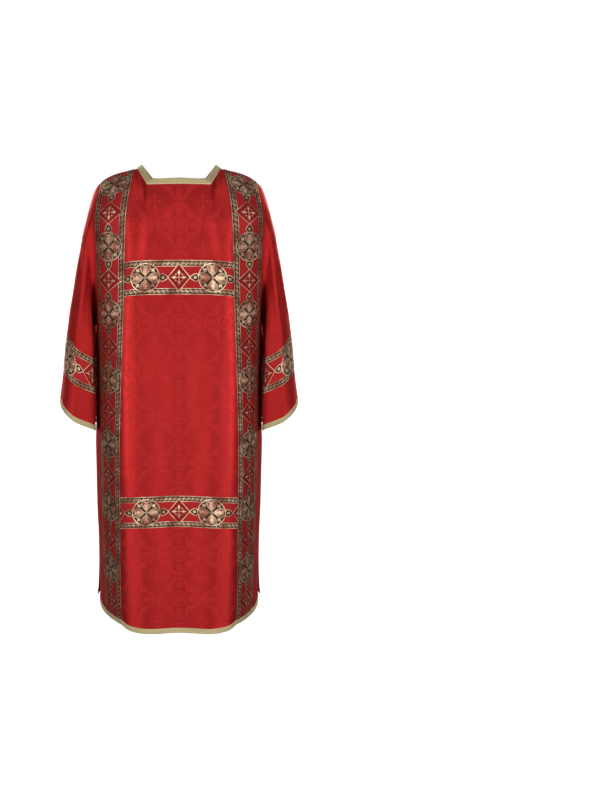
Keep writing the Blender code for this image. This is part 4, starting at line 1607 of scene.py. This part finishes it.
def make_galloons():
    """The braid at the neck, the hems and the cuffs."""
    for side, panel in PANELS.items():
        hem = slice(ROW[HEM_GALLOON_TOP], ROW[HEM] + 1)
        for name, grid in (("neck", FORMS[side + " rim"]), ("hem", FORMS[side][hem])):
            normals = grid_normals(grid)
            normals *= panel.outward * np.sign(normals[:, grid.shape[1] // 2, 1].sum())
            lay_galloon(f"{name}_galloon_{side}", grid, normals, side == "back")
    for side in SLEEVES:
        grid = hoops_between(side, CUFF_GALLOON_HOOPS)
        normals = grid_normals(grid, closed=True)
        normals = away_from(grid.mean(axis=1, keepdims=True), grid, normals)
        lay_galloon(f"cuff_galloon_{side}", grid, normals, side == "left", True)


def make_camera(scene):
    """The camera, in front of the garment and tilted down."""
    camera = bpy.data.objects.new("camera", bpy.data.cameras.new("camera"))
    camera.data.lens = LENS_MM
    camera.data.sensor_width = SENSOR_MM
    camera.data.shift_x = CAMERA_SHIFT
    camera.location = CAMERA
    camera.rotation_euler = (math.pi / 2 - CAMERA_DOWN, 0.0, 0.0)
    scene.collection.objects.link(camera)
    scene.camera = camera


def make_floor(scene, light):
    """A wide pale floor that only the camera sees."""
    half, height = FLOOR_HALF, HEM - light.floor_drop
    corners = [(x * half, y * half, height) for x, y in ((-1, -1), (1, -1), (1, 1), (-1, 1))]
    mesh = bpy.data.meshes.new("floor")
    mesh.from_pydata(corners, [], [(0, 1, 2, 3)])
    floor = bpy.data.objects.new("floor", mesh)
    scene.collection.objects.link(floor)
    material, _, _ = new_material(
        "pale_floor",
        Roughness=0.9,
        Base_Color=(0.80, 0.80, 0.80, 1.0),
        Emission_Strength=light.floor_glow,
        Emission_Color=WHITE,
    )
    mesh.materials.append(material)
    floor.visible_diffuse = False
    floor.visible_glossy = False
    floor.visible_shadow = False


def make_world(scene, light):
    """Even light all round, with more from over and under, behind a white backdrop."""
    world = bpy.data.worlds.new("studio")
    world.use_nodes = True
    tree = world.node_tree
    seen = add_node(tree, "ShaderNodeBackground", {"Color": WHITE, "Strength": 1.0})
    way = add_node(tree, "ShaderNodeTexCoord").outputs["Generated"]
    up = Number(tree, add_node(tree, "ShaderNodeSeparateXYZ", {0: way}).outputs[2])
    even = (up * up).rest() * (light.fill - light.top_fill) + light.top_fill
    back = tree.nodes["Background"]
    back.inputs["Color"].default_value = WHITE
    tree.links.new(even.socket, back.inputs["Strength"])
    path = add_node(tree, "ShaderNodeLightPath")
    inputs = {0: path.outputs["Is Camera Ray"], 1: back.outputs[0], 2: seen.outputs[0]}
    mix = add_node(tree, "ShaderNodeMixShader", inputs)
    tree.links.new(mix.outputs[0], tree.nodes["World Output"].inputs["Surface"])
    scene.world = world


def make_lamps(scene, light):
    """The lamps, each a wide sun."""
    for name, azimuth, elevation, width, power in LAMPS:
        lamp = bpy.data.lights.new(name, "SUN")
        lamp.angle = math.radians(width)
        lamp.energy = power * light.key
        place = bpy.data.objects.new(name, lamp)
        place.rotation_euler = (math.pi / 2 - math.radians(elevation), 0.0, math.radians(azimuth))
        scene.collection.objects.link(place)


def make_stage():
    """The camera, the floor and the light."""
    scene = bpy.context.scene
    light = scene.dalmatic_stage
    scene.view_settings.view_transform = "Standard"
    make_camera(scene)
    make_floor(scene, light)
    make_world(scene, light)
    make_lamps(scene, light)


def colour_property(name, description, default):
    return bpy.props.FloatVectorProperty(
        name=name,
        description=description,
        default=default,
        subtype="COLOR",
        size=3,
        min=0.0,
        max=1.0,
    )


def length_property(name, description, default):
    return bpy.props.FloatProperty(
        name=name, description=description, default=default, min=0.0, unit="LENGTH"
    )


def light_property(name, description, default):
    return bpy.props.FloatProperty(name=name, description=description, default=default, min=0.0)


class DalmaticSizes(bpy.types.PropertyGroup):
    """Thickness of each cloth, inwards from its outer face."""

    damask: length_property("Damask", "Thickness of the panels and sleeves", DAMASK_CLOTH)
    brocade: length_property("Brocade", "Thickness of the bands", BAND_CLOTH)
    braid: length_property("Braid", "Thickness of the galloons", GALLOON_CLOTH / 2)


class DalmaticLook(bpy.types.PropertyGroup):
    """Colours of the cloths and threads."""

    damask: colour_property("Damask", "Ground of the damask", (0.43, 0.0175, 0.0180))
    damask_figure: colour_property("Damask figure", "Figure of the damask", (0.53, 0.030, 0.028))
    brocade: colour_property("Brocade", "Red ground of the bands", (0.35, 0.0155, 0.0175))
    gold: colour_property("Gold thread", "Metal thread of the bands", (1.0, 0.74, 0.50))
    gold_worn: colour_property("Worn gold", "Metal thread where it is worn", (0.50, 0.235, 0.160))
    dark: colour_property("Dark thread", "Dark ground of the medallions", (0.032, 0.014, 0.008))
    braid: colour_property("Braid", "Galloon at the neck, hem and cuffs", (0.66, 0.54, 0.27))


class DalmaticStage(bpy.types.PropertyGroup):
    """The studio round the garment."""

    floor_drop: length_property("Floor below hem", "Height of the hem over the floor", FLOOR_DROP)
    fill: light_property("Fill", "Strength of the even light all round", 0.11)
    top_fill: light_property("Top fill", "Strength of the light from over and under", 0.16)
    floor_glow: light_property("Floor glow", "Light that the floor gives of its own", 0.86)
    key: light_property("Key", "Scale of the power of the lamps", 1.03)


class DALMATIC_OT_panels(bpy.types.Operator):
    """Make the front and back panels"""

    bl_idname = "dalmatic.panels"
    bl_label = "Front and back"

    def execute(self, context):
        make_panels()
        return {"FINISHED"}


class DALMATIC_OT_sleeves(bpy.types.Operator):
    """Make both sleeves"""

    bl_idname = "dalmatic.sleeves"
    bl_label = "Sleeves"

    def execute(self, context):
        make_sleeves()
        return {"FINISHED"}


class DALMATIC_OT_orphreys(bpy.types.Operator):
    """Make the two long bands over the shoulders"""

    bl_idname = "dalmatic.orphreys"
    bl_label = "Long bands"

    def execute(self, context):
        make_orphreys()
        return {"FINISHED"}


class DALMATIC_OT_cross_bands(bpy.types.Operator):
    """Make the bands across the front and the back"""

    bl_idname = "dalmatic.cross_bands"
    bl_label = "Cross bands"

    def execute(self, context):
        make_cross_bands()
        return {"FINISHED"}


class DALMATIC_OT_sleeve_bands(bpy.types.Operator):
    """Make the band round each sleeve"""

    bl_idname = "dalmatic.sleeve_bands"
    bl_label = "Sleeve bands"

    def execute(self, context):
        make_sleeve_bands()
        return {"FINISHED"}


class DALMATIC_OT_galloons(bpy.types.Operator):
    """Make the braid at the neck, the hems and the cuffs"""

    bl_idname = "dalmatic.galloons"
    bl_label = "Braid"

    def execute(self, context):
        make_galloons()
        return {"FINISHED"}


class DALMATIC_OT_stage(bpy.types.Operator):
    """Make the floor, the lamps and the camera"""

    bl_idname = "dalmatic.stage"
    bl_label = "Stage"

    def execute(self, context):
        make_stage()
        return {"FINISHED"}


STEPS = (
    DALMATIC_OT_stage,
    DALMATIC_OT_panels,
    DALMATIC_OT_sleeves,
    DALMATIC_OT_orphreys,
    DALMATIC_OT_cross_bands,
    DALMATIC_OT_sleeve_bands,
    DALMATIC_OT_galloons,
)


GROUPS = {
    "dalmatic_sizes": DalmaticSizes,
    "dalmatic_look": DalmaticLook,
    "dalmatic_stage": DalmaticStage,
}


class DALMATIC_PT_maker(bpy.types.Panel):
    """Lists the makers in the order that they run."""

    bl_idname = "DALMATIC_PT_maker"
    bl_label = "Dalmatic"
    bl_space_type = "VIEW_3D"
    bl_region_type = "UI"
    bl_category = "Dalmatic"

    def draw(self, context):
        for group, kind in GROUPS.items():
            for name in kind.__annotations__:
                self.layout.prop(getattr(context.scene, group), name)
        for step in STEPS:
            self.layout.operator(step.bl_idname)


CLASSES = (*GROUPS.values(), *STEPS, DALMATIC_PT_maker)


def register():
    for cls in CLASSES:
        bpy.utils.register_class(cls)
    for name, kind in GROUPS.items():
        setattr(bpy.types.Scene, name, bpy.props.PointerProperty(type=kind))


def unregister():
    for name in GROUPS:
        delattr(bpy.types.Scene, name)
    for cls in reversed(CLASSES):
        bpy.utils.unregister_class(cls)


def main():
    """Makes every piece in order."""
    register()
    for step in STEPS:
        group, name = step.bl_idname.split(".")
        getattr(getattr(bpy.ops, group), name)()


if __name__ == "__main__":
    main()
